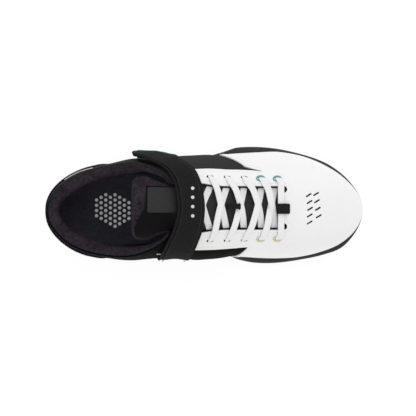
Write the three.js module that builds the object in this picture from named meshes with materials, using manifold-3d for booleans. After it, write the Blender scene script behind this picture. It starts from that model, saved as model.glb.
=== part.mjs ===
// A left mountain bike shoe in millimetres, standing empty on its sole.
// +X points to the toe, +Y to the outer side and +Z up. Tables hold shares of the named sizes,
// so that a change of one size carries through the sole, the upper and what sits on them.

import * as THREE from "three";
import { mergeVertices } from "three/addons/utils/BufferGeometryUtils.js";
import Module from "manifold-3d";

const wasm = await Module();
wasm.setup();

// Driving sizes of the sole
const soleLength = 299;
const ballWidth = 110;
const heelWidth = 80;
const heelStack = 24;
const ballStack = 15.5;
const toeSpring = 11;
const heelBevel = 5;
const archLift = 2.5;
const treadDepth = 3;
const outsoleThick = 4;
const rimHeight = 8;
const rimWall = 3;
const lugAcross = 14;
const lugPitch = 20;
const edgeLugLength = 11;
const edgeLugWidth = 7;
const edgeLugCount = 13;
const edgeLugSetback = 2;
const lugClear = 3;

// Driving sizes of the upper
const upperHeelInset = 2;
const upperToeInset = 2.5;
const upperBallWidth = 101.5;
const upperHeelWidth = 84;
const instepHeight = 97;
const toeHeight = 63;
const collarHeight = 82;
const heelLean = 3;
const upperWall = 2.2;
const overlayThick = 1.2;
const counterThick = 1.2;
const bumperThick = 1.8;
const counterLength = 70;
const counterHeight = 36;
const bumperLength = 10;
const bumperWidth = 54;
const bumperHeight = toeHeight * 0.89;

// Driving sizes of the throat, the lacing and what closes it
const throatFront = 221;
const throatWidth = 38;
const throatFlare = 3;
const notchRadius = 2.2;
const eyeletPairs = 6;
const eyeletFront = 216.5;
const eyeletPitch = 15.6;
const eyeletSpread = 57;
const eyeletLength = 6.4;
const eyeletWidth = 2.6;
const laceWidth = 6;
const laceThick = 1.3;
const laceBend = 0.9;
const laceBarLead = 2.5;
const laceStop = 4.2;
const laceExit = 2.4;
const tongueThick = 7;
const tongueTop = 84;
const tongueTuck = 7;
const tongueThinShare = 0.45;
const padThick = 10;
const padDepth = 22;
const padRise = 2.5;
const insoleThick = 4;
const insoleCup = 5;
const strapThick = 2.6;
const strapBaseThick = 1.5;
const hookTapeThick = 0.9;
const frontKeeperLength = 12.5;
const frontKeeperWidth = 9.5;
const frontKeeperY = -0.7;
const frontKeeperLead = 7;
const tongueKeeperLength = 11.5;
const tongueKeeperWidth = 5.5;
const tongueKeeperY = 1.2;
const tongueKeeperLag = 4;
const webbingThick = 1;
const gap = 0.3;

// How fine the sections are
const stations = 30;
const domeSteps = 7;
const flankSteps = 2;
const slack = 0.7;

// Sections from heel to toe. at is the share of the length; outer and inner are half widths before
// the ends are rounded, as shares of the width there; spine is where the middle line lies.
const soleRows = [
  { at: 0.0, outer: 0.45, inner: 0.425, spine: -0.0227 },
  { at: 0.07, outer: 0.481, inner: 0.4625, spine: -0.0227 },
  { at: 0.2, outer: 0.512, inner: 0.494, spine: -0.0227 },
  { at: 0.33, outer: 0.499, inner: 0.48, spine: -0.008 },
  { at: 0.43, outer: 0.445, inner: 0.392, spine: 0 },
  { at: 0.5, outer: 0.454, inner: 0.37, spine: 0 },
  { at: 0.55, outer: 0.482, inner: 0.391, spine: 0 },
  { at: 0.61, outer: 0.53, inner: 0.452, spine: 0 },
  { at: 0.66, outer: 0.534, inner: 0.478, spine: 0 },
  { at: 0.72, outer: 0.531, inner: 0.489, spine: 0 },
  { at: 0.8, outer: 0.519, inner: 0.494, spine: 0 },
  { at: 0.88, outer: 0.509, inner: 0.516, spine: -0.001 },
  { at: 0.94, outer: 0.475, inner: 0.545, spine: -0.003 },
  { at: 1.0, outer: 0.4, inner: 0.5, spine: -0.009 },
];

// The upper at its widest line, with ridge the height of its middle line over the floor as a share
// of the height there, bulge the share of the section's height where it is widest, and power its
// roundness: 2 is an ellipse and more is boxier.
const upperRows = [
  { at: 0.0, outer: 0.36, inner: 0.37, ridge: 1.227, bulge: 0.23, power: 2.4 },
  { at: 0.1, outer: 0.443, inner: 0.462, ridge: 1.26, bulge: 0.23, power: 2.3 },
  { at: 0.19, outer: 0.518, inner: 0.527, ridge: 1.278, bulge: 0.23, power: 2.15 },
  { at: 0.28, outer: 0.572, inner: 0.563, ridge: 1.28, bulge: 0.24, power: 2.05 },
  { at: 0.37, outer: 0.526, inner: 0.533, ridge: 1.206, bulge: 0.25, power: 2 },
  { at: 0.42, outer: 0.506, inner: 0.504, ridge: 1.14, bulge: 0.26, power: 2 },
  { at: 0.46, outer: 0.508, inner: 0.505, ridge: 1.072, bulge: 0.26, power: 2 },
  { at: 0.51, outer: 0.499, inner: 0.483, ridge: 0.985, bulge: 0.26, power: 2 },
  { at: 0.56, outer: 0.486, inner: 0.463, ridge: 0.935, bulge: 0.26, power: 2 },
  { at: 0.61, outer: 0.495, inner: 0.44, ridge: 0.916, bulge: 0.25, power: 2.05 },
  { at: 0.67, outer: 0.506, inner: 0.452, ridge: 0.922, bulge: 0.23, power: 2.1 },
  { at: 0.743, outer: 0.523, inner: 0.468, ridge: 0.967, bulge: 0.21, power: 2.2 },
  { at: 0.8, outer: 0.52, inner: 0.48, ridge: 0.997, bulge: 0.21, power: 2.3 },
  { at: 0.865, outer: 0.504, inner: 0.487, ridge: 0.985, bulge: 0.26, power: 2.4 },
  { at: 0.92, outer: 0.481, inner: 0.495, ridge: 0.938, bulge: 0.32, power: 2.5 },
  { at: 0.96, outer: 0.45, inner: 0.49, ridge: 0.875, bulge: 0.4, power: 2.6 },
  { at: 1.0, outer: 0.42, inner: 0.48, ridge: 0.77, bulge: 0.5, power: 2.6 },
];

// The collar's top edge on each side, as shares of its height at the heel
const toplineRows = [
  { at: -0.05, outer: 1.01, inner: 1.01 },
  { at: 0.0, outer: 1.0, inner: 1.0 },
  { at: 0.1, outer: 0.93, inner: 0.965 },
  { at: 0.19, outer: 0.87, inner: 0.94 },
  { at: 0.28, outer: 0.96, inner: 1.03 },
  { at: 0.34, outer: 1.08, inner: 1.13 },
  { at: 0.385, outer: 1.22, inner: 1.25 },
  { at: 0.43, outer: 1.42, inner: 1.44 },
  { at: 0.47, outer: 1.7, inner: 1.7 },
];

// Half widths of the tongue from its top to its front, as shares of the throat's width
const tongueRows = [
  { at: 0.0, half: 0.66 },
  { at: 0.03, half: 0.745 },
  { at: 0.08, half: 0.755 },
  { at: 0.15, half: 0.65 },
  { at: 0.24, half: 0.565 },
  { at: 0.35, half: 0.57 },
  { at: 0.5, half: 0.62 },
  { at: 1.0, half: 0.61 },
];

// The strap's two edges, from the inner side over the instep to its tail on the outer side. An edge
// is a share of the length and a lift: 0 is the middle line, 1 the outer widest line, -1 the inner.
// off is how far its underside stands off the upper, as a share of what lies over the instep there.
const strapRows = [
  { rearAt: 0.35, rearLift: -1.14, rearOff: 0.15, frontAt: 0.447, frontLift: -1.14, frontOff: 0.15 },
  { rearAt: 0.353, rearLift: -0.95, rearOff: 0.15, frontAt: 0.45, frontLift: -0.92, frontOff: 0.15 },
  { rearAt: 0.364, rearLift: -0.7, rearOff: 0.5, frontAt: 0.4595, frontLift: -0.65, frontOff: 0.5 },
  { rearAt: 0.3855, rearLift: -0.45, rearOff: 0.95, frontAt: 0.479, frontLift: -0.42, frontOff: 0.95 },
  { rearAt: 0.411, rearLift: -0.22, rearOff: 1, frontAt: 0.4965, frontLift: -0.21, frontOff: 1 },
  { rearAt: 0.4235, rearLift: 0, rearOff: 1, frontAt: 0.5025, frontLift: 0, frontOff: 1 },
  { rearAt: 0.416, rearLift: 0.22, rearOff: 1, frontAt: 0.4965, frontLift: 0.19, frontOff: 1 },
  { rearAt: 0.393, rearLift: 0.42, rearOff: 1, frontAt: 0.4755, frontLift: 0.42, frontOff: 0.85 },
  { rearAt: 0.363, rearLift: 0.56, rearOff: 0.95, frontAt: 0.4345, frontLift: 0.62, frontOff: 0.5 },
  { rearAt: 0.334, rearLift: 0.645, rearOff: 1, frontAt: 0.405, frontLift: 0.83, frontOff: 0.35 },
  { rearAt: 0.308, rearLift: 0.7, rearOff: 1.1, frontAt: 0.355, frontLift: 0.95, frontOff: 1.05 },
  { rearAt: 0.282, rearLift: 0.735, rearOff: 1, frontAt: 0.288, frontLift: 0.98, frontOff: 1 },
];

// The short length of strap that is sewn to the outer side, under the tail
const strapBaseRows = [
  { rearAt: 0.338, rearLift: 0.7, rearOff: 1, frontAt: 0.352, frontLift: 0.9, frontOff: 1 },
  { rearAt: 0.322, rearLift: 0.72, rearOff: 1, frontAt: 0.338, frontLift: 0.93, frontOff: 1 },
  { rearAt: 0.306, rearLift: 0.74, rearOff: 1, frontAt: 0.318, frontLift: 0.95, frontOff: 1 },
  { rearAt: 0.292, rearLift: 0.76, rearOff: 1, frontAt: 0.297, frontLift: 0.95, frontOff: 1 },
];

// The overlay's plan from the outer side round the toe to the inner: wide is a share of the width.
const vampRows = [
  { at: 0.4, wide: 0.35 },
  { at: 0.55, wide: 0.352 },
  { at: 0.645, wide: 0.344 },
  { at: 0.677, wide: 0.335 },
  { at: 0.624, wide: 0.376 },
  { at: 0.599, wide: 0.42 },
  { at: 0.57, wide: 0.46 },
  { at: 0.553, wide: 0.48 },
  { at: 0.535, wide: 0.6 },
  { at: 1.1, wide: 0.6 },
  { at: 1.1, wide: -0.6 },
  { at: 0.585, wide: -0.6 },
  { at: 0.593, wide: -0.452 },
  { at: 0.6, wide: -0.435 },
  { at: 0.621, wide: -0.385 },
  { at: 0.632, wide: -0.345 },
  { at: 0.55, wide: -0.3626 },
  { at: 0.4, wide: -0.3675 },
];

// The counter's top edge from its front end back: along is a share of its length, up of its height.
const counterRows = [
  { along: 0.86, up: 0.42 },
  { along: 0.55, up: 0.78 },
  { along: 0.25, up: 0.96 },
];

// The collar's roll round its section: down in padDepth or padRise, inward in its thickness.
const padRows = [
  { down: padDepth, inward: 0 },
  { down: padDepth / 2, inward: 0 },
  { down: 0.5, inward: 0 },
  { down: -padRise, inward: 0.28 },
  { down: -padRise, inward: 0.62 },
  { down: 1, inward: 0.95 },
  { down: padDepth * 0.45, inward: 1 },
  { down: padDepth, inward: 0.35 },
];

// How far in front of its eyelet each run of the lace comes out, as a share of the pitch, and how
// far in front of the next eyelet it ends.
const laceLeads = [-0.19, 0.03, -0.02, -0.07, -0.06];
const laceEnd = 0.26;

// How the two outlines round off at the heel and the toe, as shares of the length and powers
const soleEnds = { heelShare: 0.16, heelPower: 2.2, toeShare: 0.367, toePower: 2.2 };
const upperEnds = { heelShare: 0.15, heelPower: 2.3, toeShare: 0.36, toePower: 2.25 };

// Stretches of the shoe, as shares of its length: from where, and over how much
const waistStretch = { from: 0.3, over: 0.25 };
const toeStretch = { from: 0.72, over: 0.28 };
const bevelStretch = 0.11;
const archStretch = { from: 0.31, over: 0.24 };
const bedStretch = { from: 0.25, over: 0.35 };
const instepStretch = { from: 0.5, over: 0.35 };
const cupStretch = { from: 0.25, over: 0.3 };
const leanStretch = 0.2;
const collarStretch = { from: -0.05, to: 0.47 };
const collarFront = 0.365;
const stayStretch = { from: 0.3, to: 0.555 };
const edgePlain = { from: 0.36, to: 0.5 };
const middlePlain = { from: 0.35, to: 0.51 };

// Small helpers
const mix = (a, b, t) => a + (b - a) * t;
const clamp = (t) => Math.min(1, Math.max(0, t));
const smooth = (t) => clamp(t) ** 2 * (3 - 2 * clamp(t));
const range = (n) => Array.from({ length: n }, (_, i) => i);
const along = (at, { from, over }) => (at - from) / over;
const isOn = (at, { from, to }) => at > from && at < to;

// A column of a table as a smooth function that never overshoots its rows.
function curve(rows, column, key = "at") {
  const xs = rows.map((row) => row[key]);
  const ys = rows.map((row) => row[column]);
  const rise = range(xs.length - 1).map((i) => (ys[i + 1] - ys[i]) / (xs[i + 1] - xs[i]));
  const slopes = xs.map((_, i) => {
    const before = rise[Math.max(0, i - 1)];
    const after = rise[Math.min(rise.length - 1, i)];
    return before * after <= 0 ? 0 : (2 * before * after) / (before + after);
  });
  return (x) => {
    const at = Math.min(xs[xs.length - 1], Math.max(xs[0], x));
    const i = Math.max(0, Math.min(xs.length - 2, xs.findLastIndex((start) => start <= at)));
    const width = xs[i + 1] - xs[i];
    const t = (at - xs[i]) / width;
    return (
      ys[i] * (1 + 2 * t) * (1 - t) ** 2 +
      slopes[i] * width * t * (1 - t) ** 2 +
      ys[i + 1] * t * t * (3 - 2 * t) -
      slopes[i + 1] * width * t * t * (1 - t)
    );
  };
}

const sole = {
  outer: curve(soleRows, "outer"),
  inner: curve(soleRows, "inner"),
  spine: curve(soleRows, "spine"),
};
const upper = {
  outer: curve(upperRows, "outer"),
  inner: curve(upperRows, "inner"),
  ridge: curve(upperRows, "ridge"),
  bulge: curve(upperRows, "bulge"),
  power: curve(upperRows, "power"),
};
const topline = { outer: curve(toplineRows, "outer"), inner: curve(toplineRows, "inner") };

// 1 along the middle of an outline, falling to 0 at its round heel and toe.
function roundEnds(at, { heelShare, heelPower, toeShare, toePower }) {
  const heel = clamp(1 - at / heelShare);
  const toe = clamp(1 - (1 - at) / toeShare);
  const heelRound = (1 - heel ** heelPower) ** (1 / heelPower);
  return heelRound * (1 - toe ** toePower) ** (1 / toePower);
}

const spineAt = (at) => sole.spine(at) * ballWidth;

// The sole's widest outline on one side, made larger by grow. side is 1 outside and -1 inside.
function soleEdge(at, side, grow) {
  const share = (side > 0 ? sole.outer : sole.inner)(at);
  const width = mix(heelWidth, ballWidth, smooth(along(at, waistStretch)));
  const half = (share * width + grow) * roundEnds(at, soleEnds);
  return { x: mix(-grow, soleLength + grow, at), y: spineAt(at) + side * half, half };
}

// The upper's widest outline on one side, made larger by grow.
function upperEdge(at, side, grow) {
  const share = (side > 0 ? upper.outer : upper.inner)(at);
  const width = mix(upperHeelWidth, upperBallWidth, smooth(along(at, waistStretch)));
  const half = (share * width + grow) * roundEnds(at, upperEnds);
  const x = mix(upperHeelInset - grow, soleLength - upperToeInset + grow, at);
  return { x, y: spineAt(at) + side * half, half };
}

// Heights along the shoe: the tread's underside, the foot-bed and the sole's top rim.
const toeRise = (at) => toeSpring * clamp(along(at, toeStretch)) ** 2;
const heelRise = (at) => heelBevel * clamp(1 - at / bevelStretch) ** 2;
const archRise = (at) => archLift * Math.sin(Math.PI * clamp(along(at, archStretch))) ** 2;
const treadAt = (at) => toeRise(at) + heelRise(at) + archRise(at);
const footbedAt = (at) => toeRise(at) + mix(heelStack, ballStack, smooth(along(at, bedStretch)));
const treadZ = (x) => treadAt(x / soleLength);
const footbedZ = (x) => footbedAt(x / soleLength);
const rimZ = (x) => footbedZ(x) + rimHeight;

// Where the upper's foot edge stands in the sole's cup.
function footEdge(at, side, grow) {
  const inset = rimWall + gap;
  const inSole = soleEdge(at, side, -inset);
  const inUpper = upperEdge(at, side, -upperHeelInset);
  const half = Math.max(0, Math.min(inSole.half, inUpper.half) + grow * Math.min(1, inSole.half / rimWall));
  const x = mix(inset - grow, soleLength - inset + grow, at);
  return { x, y: spineAt(at) + side * half, half };
}

const heightRef = (at) => mix(instepHeight, toeHeight, smooth(along(at, instepStretch)));
const ridgeZ = (at) => upper.ridge(at) * heightRef(at);
const widestZ = (at) => mix(footbedAt(at), ridgeZ(at), upper.bulge(at));

// The heel's back leans forward a little above its widest line.
function lean(at, z) {
  const up = clamp((z - widestZ(at)) / (collarHeight - widestZ(0)));
  return heelLean * up ** 1.5 * (1 - smooth(at / leanStretch));
}

// A point of the upper, made larger by grow: lift 0 is the middle line on top, 1 or -1 the widest
// line of the outer or inner side, 1.5 or -1.5 the sole's rim and 2 or -2 the foot edge in its cup.
function upperPoint(at, lift, grow, footDrop = 0) {
  const side = lift < 0 ? -1 : 1;
  const up = Math.abs(lift);
  const widest = upperEdge(at, side, grow);
  const zWide = widestZ(at);
  if (up > 1) {
    const down = clamp(2 * (up - 1));
    const foot = footEdge(at, side, grow);
    const turn = 1 - Math.cos((down * Math.PI) / 2);
    const rim = mix(zWide, rimZ(foot.x) + gap, down);
    const z = mix(rim, footbedZ(foot.x) + gap - footDrop, clamp(2 * up - 3));
    return [mix(widest.x, foot.x, turn), mix(widest.y, foot.y, turn), z];
  }
  const power = upper.power(at);
  const angle = ((1 - up) * Math.PI) / 2;
  const out = Math.cos(angle) ** (2 / power);
  const high = Math.sin(angle) ** (2 / power);
  const y = spineAt(at) + side * widest.half * out;
  const z = mix(zWide, ridgeZ(at) + grow, high);
  return [widest.x + lean(at, z), y, z];
}

// The upper's height over a spot of the plan, in front of the heel where it doesn't lean.
function domeZ(x, y, grow) {
  const at = (x - upperHeelInset + grow) / (soleLength - upperToeInset - upperHeelInset + 2 * grow);
  const side = y < spineAt(at) ? -1 : 1;
  const power = upper.power(at);
  const out = clamp(Math.abs(y - spineAt(at)) / upperEdge(at, side, grow).half);
  return mix(widestZ(at), ridgeZ(at) + grow, (1 - out ** power) ** (1 / power));
}

// The point of one side of the upper at a given height, above its widest line.
function sideAtHeight(at, side, z, grow) {
  const widest = upperEdge(at, side, grow);
  const power = upper.power(at);
  const high = clamp((z - widestZ(at)) / (ridgeZ(at) + grow - widestZ(at)));
  const out = (1 - high ** power) ** (1 / power);
  return [widest.x + lean(at, z), spineAt(at) + side * widest.half * out, z];
}

const toplineZ = (at, side) => (side > 0 ? topline.outer : topline.inner)(at) * collarHeight;

// Closed bodies

// A closed body from its vertices and triangles, with equal vertices merged and faces turned out.
function body(vertices, triangles) {
  const soup = new THREE.BufferGeometry();
  soup.setAttribute("position", new THREE.Float32BufferAttribute(vertices.flat(), 3));
  soup.setIndex(triangles.flat());
  const merged = mergeVertices(soup, 1e-3);
  const index = merged.index.array;
  const kept = [];
  for (let i = 0; i < index.length; i += 3) {
    const [a, b, c] = [index[i], index[i + 1], index[i + 2]];
    if (a !== b && b !== c && a !== c) kept.push(a, b, c);
  }
  const vertProperties = merged.attributes.position.array;
  const made = new wasm.Manifold(
    new wasm.Mesh({ numProp: 3, vertProperties, triVerts: new Uint32Array(kept) }),
  );
  if (made.volume() > 0) return made;
  for (let i = 0; i < kept.length; i += 3) [kept[i], kept[i + 1]] = [kept[i + 1], kept[i]];
  return new wasm.Manifold(
    new wasm.Mesh({ numProp: 3, vertProperties, triVerts: new Uint32Array(kept) }),
  );
}

// Joins rings of equal count. Each ring goes along one face and back along the other, so the caps
// are strips between the two, and both faces are split alike, which keeps a wall of even thickness.
function loft(rings) {
  const n = rings[0].length;
  const triangles = [];
  const quad = (a, b, c, d) => triangles.push([a, b, c], [a, c, d]);
  for (const i of range(rings.length - 1)) {
    for (const j of range(n)) {
      const k = (j + 1) % n;
      const corners = [i * n + j, i * n + k, (i + 1) * n + k, (i + 1) * n + j];
      if (j < n / 2) quad(...corners);
      else quad(...corners.slice(1), corners[0]);
    }
  }
  const last = (rings.length - 1) * n;
  for (const j of range(n / 2 - 1)) {
    quad(n - 1 - j, n - 2 - j, j + 1, j);
    quad(last + j, last + j + 1, last + n - 2 - j, last + n - 1 - j);
  }
  return body(rings.flat(), triangles);
}

// A prism over a plan outline, and one across the shoe behind a side outline.
function planPrism(shape, low, high) {
  const geometry = new THREE.ExtrudeGeometry(shape, {
    depth: high - low,
    bevelEnabled: false,
    curveSegments: 6,
  });
  return solidOf(geometry.translate(0, 0, low));
}

function sidePrism(shape, halfWidth) {
  const geometry = new THREE.ExtrudeGeometry(shape, {
    depth: 2 * halfWidth,
    bevelEnabled: false,
    curveSegments: 6,
  });
  return solidOf(geometry.rotateX(Math.PI / 2).translate(0, halfWidth, 0));
}

function solidOf(geometry) {
  const flat = geometry.index ? geometry.toNonIndexed() : geometry;
  const position = flat.getAttribute("position");
  const vertices = range(position.count).map((i) => [position.getX(i), position.getY(i), position.getZ(i)]);
  return body(vertices, range(position.count / 3).map((i) => [3 * i, 3 * i + 1, 3 * i + 2]));
}

function upright(x, y, radius, low, high, sides) {
  const geometry = new THREE.CylinderGeometry(radius, radius, high - low, sides);
  return solidOf(geometry.rotateX(Math.PI / 2).translate(x, y, (low + high) / 2));
}

// A smooth plan or side outline through points.
const outline = (points) => new THREE.Shape(points.map(([x, y]) => new THREE.Vector2(x, y)));

const stationShares = range(stations + 1).map((i) => (1 - Math.cos((Math.PI * i) / stations)) / 2);

// A body whose cross-sections run up the outer side and down the inner one.
function crossSections(chain) {
  return loft(stationShares.map((at) => [...chain(at, 1), ...chain(at, -1).reverse()]));
}

const sky = 2 * instepHeight;

// The upper's outside made larger or smaller by grow, closed over the top and underneath.
function form(grow, footDrop = 0, steps = domeSteps) {
  return crossSections((at, side) => {
    const flank = [2, ...range(flankSteps).map((i) => 1.5 - (0.5 * i) / flankSteps)];
    const dome = range(steps + 1).map((i) => 1 - i / steps);
    return [...flank, ...dome].map((lift) => upperPoint(at, side * (lift || 1e-9), grow, footDrop));
  });
}

// Everything above the collar's top edge.
function aboveTopline() {
  const reach = ballWidth;
  const count = 16;
  return loft(
    range(count + 1).map((i) => {
      const at = mix(collarStretch.from, collarStretch.to, i / count);
      const x = at * soleLength;
      const [inner, outer] = [toplineZ(at, -1), toplineZ(at, 1)];
      return [[x, -reach, inner], [x, reach, outer], [x, reach, sky], [x, -reach, sky]];
    }),
  );
}

// The throat from the collar to its two round front corners, made wider by clear.
function throat(clear) {
  const front = throatFront + clear;
  const half = throatWidth / 2 + clear;
  const back = tongueTop + throatFlare;
  const shape = outline([
    [back, -half - throatFlare],
    [front, -half],
    [front, half],
    [back, half + throatFlare],
  ]);
  const corner = (side) =>
    upright(front, side * (half - notchRadius - clear), notchRadius + clear, 0, sky, 12);
  return planPrism(shape, 0, sky).add(corner(1)).add(corner(-1));
}

const eyeletX = (i) => eyeletFront - i * eyeletPitch;
const eyeletY = (i) => eyeletSpread / 2 + i * 0.2;

// A six-sided slot along the shoe, through all that lies over the throat's sides.
function eyeletSlot(x, y) {
  const geometry = new THREE.CylinderGeometry(0.5, 0.5, sky - ballStack, 6);
  const stretched = geometry.rotateX(Math.PI / 2).rotateZ(Math.PI / 2).scale(eyeletLength, eyeletWidth, 1);
  return solidOf(stretched.translate(x, y, (sky + ballStack) / 2));
}

function eyeletHoles() {
  const holes = range(eyeletPairs).flatMap((i) =>
    [1, -1].map((side) =>
      eyeletSlot(eyeletX(i), side * eyeletY(i)),
    ),
  );
  return holes.reduce((all, hole) => all.add(hole));
}

// The pieces

// A lug: a block of the outsole, from the ground to just inside the rubber.
function lug(shape, x, y, turn) {
  const geometry = new THREE.ExtrudeGeometry(shape, {
    depth: treadDepth + outsoleThick / 2,
    bevelEnabled: false,
  });
  return solidOf(geometry.rotateZ(turn).translate(x, y, treadZ(x)));
}

const hexagon = outline(
  range(6).map((i) => {
    const angle = (i * Math.PI) / 3;
    const radius = lugAcross / Math.sqrt(3);
    return [radius * Math.cos(angle), radius * Math.sin(angle)];
  }),
);

function edgeBlock() {
  const [a, b] = [edgeLugLength / 2, edgeLugWidth / 2];
  return outline([[-a, -b], [a, -b], [a, b], [-a, b]]);
}

// Blocks along both edges of the tread and hexagons between them, with the arch left plain.
function lugs() {
  const made = [];
  const edgeInset = edgeLugWidth / 2 + edgeLugSetback;
  for (const side of [1, -1]) {
    for (const i of range(edgeLugCount)) {
      const at = mix(0.075, 0.925, i / (edgeLugCount - 1));
      if (isOn(at, edgePlain)) continue;
      const here = soleEdge(at, side, -edgeInset);
      const ahead = soleEdge(at + 0.01, side, -edgeInset);
      made.push(lug(edgeBlock(), here.x, here.y, Math.atan2(ahead.y - here.y, ahead.x - here.x)));
    }
  }
  const keepIn = edgeLugWidth + lugAcross / 2 + lugClear;
  const rowPitch = (lugPitch * Math.sqrt(3)) / 2;
  const columns = Math.floor(soleLength / rowPitch);
  for (const i of range(columns)) {
    const x = (i + 0.6) * rowPitch;
    const at = x / soleLength;
    if (isOn(at, middlePlain)) continue;
    for (const j of range(7)) {
      const y = (j - 3 + (i % 2) / 2) * lugPitch;
      const roomOut = soleEdge(at, 1, -keepIn).y;
      const roomIn = soleEdge(at, -1, -keepIn).y;
      const inLength = x > keepIn && x < soleLength - keepIn;
      if (inLength && y < roomOut && y > roomIn) made.push(lug(hexagon, x, y, 0));
    }
  }
  return made;
}

function makeOutsole() {
  const slab = crossSections((at, side) => {
    const ring = (grow, up) => {
      const edge = soleEdge(at, side, grow);
      return [edge.x, edge.y, treadZ(edge.x) + treadDepth + up * outsoleThick];
    };
    return [ring(-2.5, 0), ring(-0.6, 0.35), ring(0, 1), ring(-rimWall * 2, 1)];
  });
  return lugs().reduce((all, block) => all.add(block), slab);
}

// The side of the midsole, from below: how far in each step lies and how high, as a share.
const sideSteps = [
  { grow: -0.9, up: 0 },
  { grow: -0.1, up: 0.1 },
  { grow: 0, up: 0.38 },
  { grow: -1.4, up: 0.44 },
  { grow: -1.4, up: 0.54 },
  { grow: -0.2, up: 0.6 },
  { grow: -0.8, up: 0.92 },
  { grow: -1.8, up: 1 },
];

function makeMidsole() {
  return crossSections((at, side) => {
    const outside = sideSteps.map(({ grow, up }) => {
      const edge = soleEdge(at, side, grow);
      const low = treadZ(edge.x) + treadDepth + outsoleThick + gap;
      return [edge.x, edge.y, mix(low, rimZ(edge.x), up)];
    });
    const cup = footEdge(at, side, gap);
    return [...outside, [cup.x, cup.y, rimZ(cup.x)], [cup.x, cup.y, footbedZ(cup.x)]];
  });
}

function makeUpper(openings) {
  return form(0).subtract(form(-upperWall, rimHeight, domeSteps - 1)).subtract(openings);
}

// A skin over the upper: from a gap above it to its own thickness, over the sole's rim.
function skin(low, thick) {
  const clearRim = crossSections((at, side) => {
    const out = soleEdge(at, side, ballWidth / 4);
    return [
      [out.x, out.y, -rimHeight],
      [out.x, out.y, rimZ(out.x) + 2 * gap],
    ];
  });
  return form(low + thick).subtract(form(low, rimHeight)).subtract(clearRim);
}

// Plan of the light overlay: the vamp, and the two eyestays back to the strap.
function vampPlan() {
  return outline(vampRows.map(({ at, wide }) => [at * soleLength, wide * upperBallWidth]));
}

// The flank behind the vamp, under the eyestays, that the plan of the overlay also covers.
function underStays() {
  const [back, front] = [soleLength * stayStretch.from, soleLength * stayStretch.to];
  const top = instepHeight / 2;
  const side = outline([[back, 0], [front, 0], [front, top], [back, top]]);
  return sidePrism(side, ballWidth);
}

function makeVampOverlay(openings, bumperPlan) {
  return skin(gap, overlayThick)
    .intersect(planPrism(vampPlan(), 0, sky))
    .subtract(underStays())
    .subtract(openings)
    .subtract(bumperPlan);
}

function makeBumper() {
  return skin(gap, bumperThick).intersect(bumperBlock(0));
}

// The space that the toe bumper takes at the front of the vamp.
function bumperBlock(clear) {
  const back = soleLength - upperToeInset - bumperLength - clear;
  const half = bumperWidth / 2 + clear;
  const top = bumperHeight + clear;
  const front = soleLength * 1.1;
  const plan = outline([
    [back, -half * 0.6],
    [back + bumperLength * 0.55, -half],
    [front, -half],
    [front, half],
    [back + bumperLength * 0.55, half],
    [back, half * 0.6],
  ]);
  return planPrism(plan, 0, top);
}

function makeCounter(openings) {
  const top = footbedZ(0) + counterHeight;
  const side = outline([
    [-heelWidth, -rimHeight],
    [counterLength, -rimHeight],
    [counterLength, rimZ(0)],
    ...counterRows.map(({ along, up }) => [counterLength * along, footbedZ(0) + counterHeight * up]),
    [-heelWidth, top],
  ]);
  return skin(gap, counterThick).intersect(sidePrism(side, heelWidth)).subtract(openings);
}

// The padded roll inside the collar, from one side of the tongue round the heel to the other.
function makeCollarPad(tongueSpace) {
  const count = stations / 2;
  const shares = range(count + 1).map((i) => collarFront * (1 - i / count) ** 1.6);
  const ring = (at, side) => {
    const top = toplineZ(at, side);
    const wall = -(upperWall + slack);
    const taper = 0.45 + 0.55 * smooth((collarFront - at) / 0.12);
    const thick = padThick * taper;
    return padRows.map(({ down, inward }) => sideAtHeight(at, side, top - down, wall - inward * thick));
  };
  const outerSide = shares.map((at) => ring(at, 1));
  const innerSide = shares.slice(0, -1).map((at) => ring(at, -1));
  return loft([...outerSide, ...innerSide.reverse()]).subtract(tongueSpace);
}

// The tongue lies under the throat and rises past the collar, made larger all round by clear.
function tongueBody(clear) {
  const half = curve(tongueRows, "half");
  const count = stations / 2;
  const front = throatFront + tongueTuck;
  const across = range(7).map((j) => j / 3 - 1);
  return loft(
    range(count + 1).map((i) => {
      const share = (1 - Math.cos((Math.PI * i) / count)) / 2;
      const x = mix(tongueTop - clear, front + clear, share);
      const reach = half(share) * throatWidth + clear;
      const under = -(upperWall + slack);
      const thin = mix(1, tongueThinShare, smooth((share - 0.75) / 0.25));
      const chain = (lower) =>
        across.map((a) => {
          const edge = 1 - tongueThinShare * Math.abs(a) ** 3;
          const depth = under - (lower ? tongueThick * thin * edge + clear : -clear);
          const y = a * reach;
          return [x, y, domeZ(x, y, under) + (depth - under)];
        });
      return [...chain(false), ...chain(true).reverse()];
    }),
  );
}

function makeInsole() {
  return crossSections((at, side) => {
    const place = (grow, up) => {
      const foot = footEdge(at, side, -(upperWall + gap) + grow);
      return [foot.x, foot.y, footbedZ(foot.x) + gap + up];
    };
    const cup = insoleCup * (1 - smooth(along(at, cupStretch)));
    return [place(-1, 0), place(0, insoleThick + cup), place(-2, insoleThick + cup), place(-9, insoleThick)];
  });
}

// A band along two edge rows: its underside stands off the upper by off and it is thick.
function band(rows, count, off, thick) {
  const keyed = rows.map((row, i) => ({ ...row, step: i / (rows.length - 1) }));
  const read = Object.fromEntries(
    Object.keys(rows[0]).map((name) => [name, curve(keyed, name, "step")]),
  );
  return loft(
    range(count + 1).map((i) => {
      const step = i / count;
      const chain = (more) =>
        [0, 0.5, 1].map((t) => {
          const at = mix(read.rearAt(step), read.frontAt(step), t);
          const lift = mix(read.rearLift(step), read.frontLift(step), t);
          const share = read.rearOff ? mix(read.rearOff(step), read.frontOff(step), t) : 1;
          return upperPoint(at, lift || 1e-9, off * share + more);
        });
      return [...chain(0), ...chain(thick).reverse()];
    }),
  );
}

// What the strap passes over: the overlay and the laces on it.
const overLaces = gap + overlayThick + slack + laceThick + 2 * slack;

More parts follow.
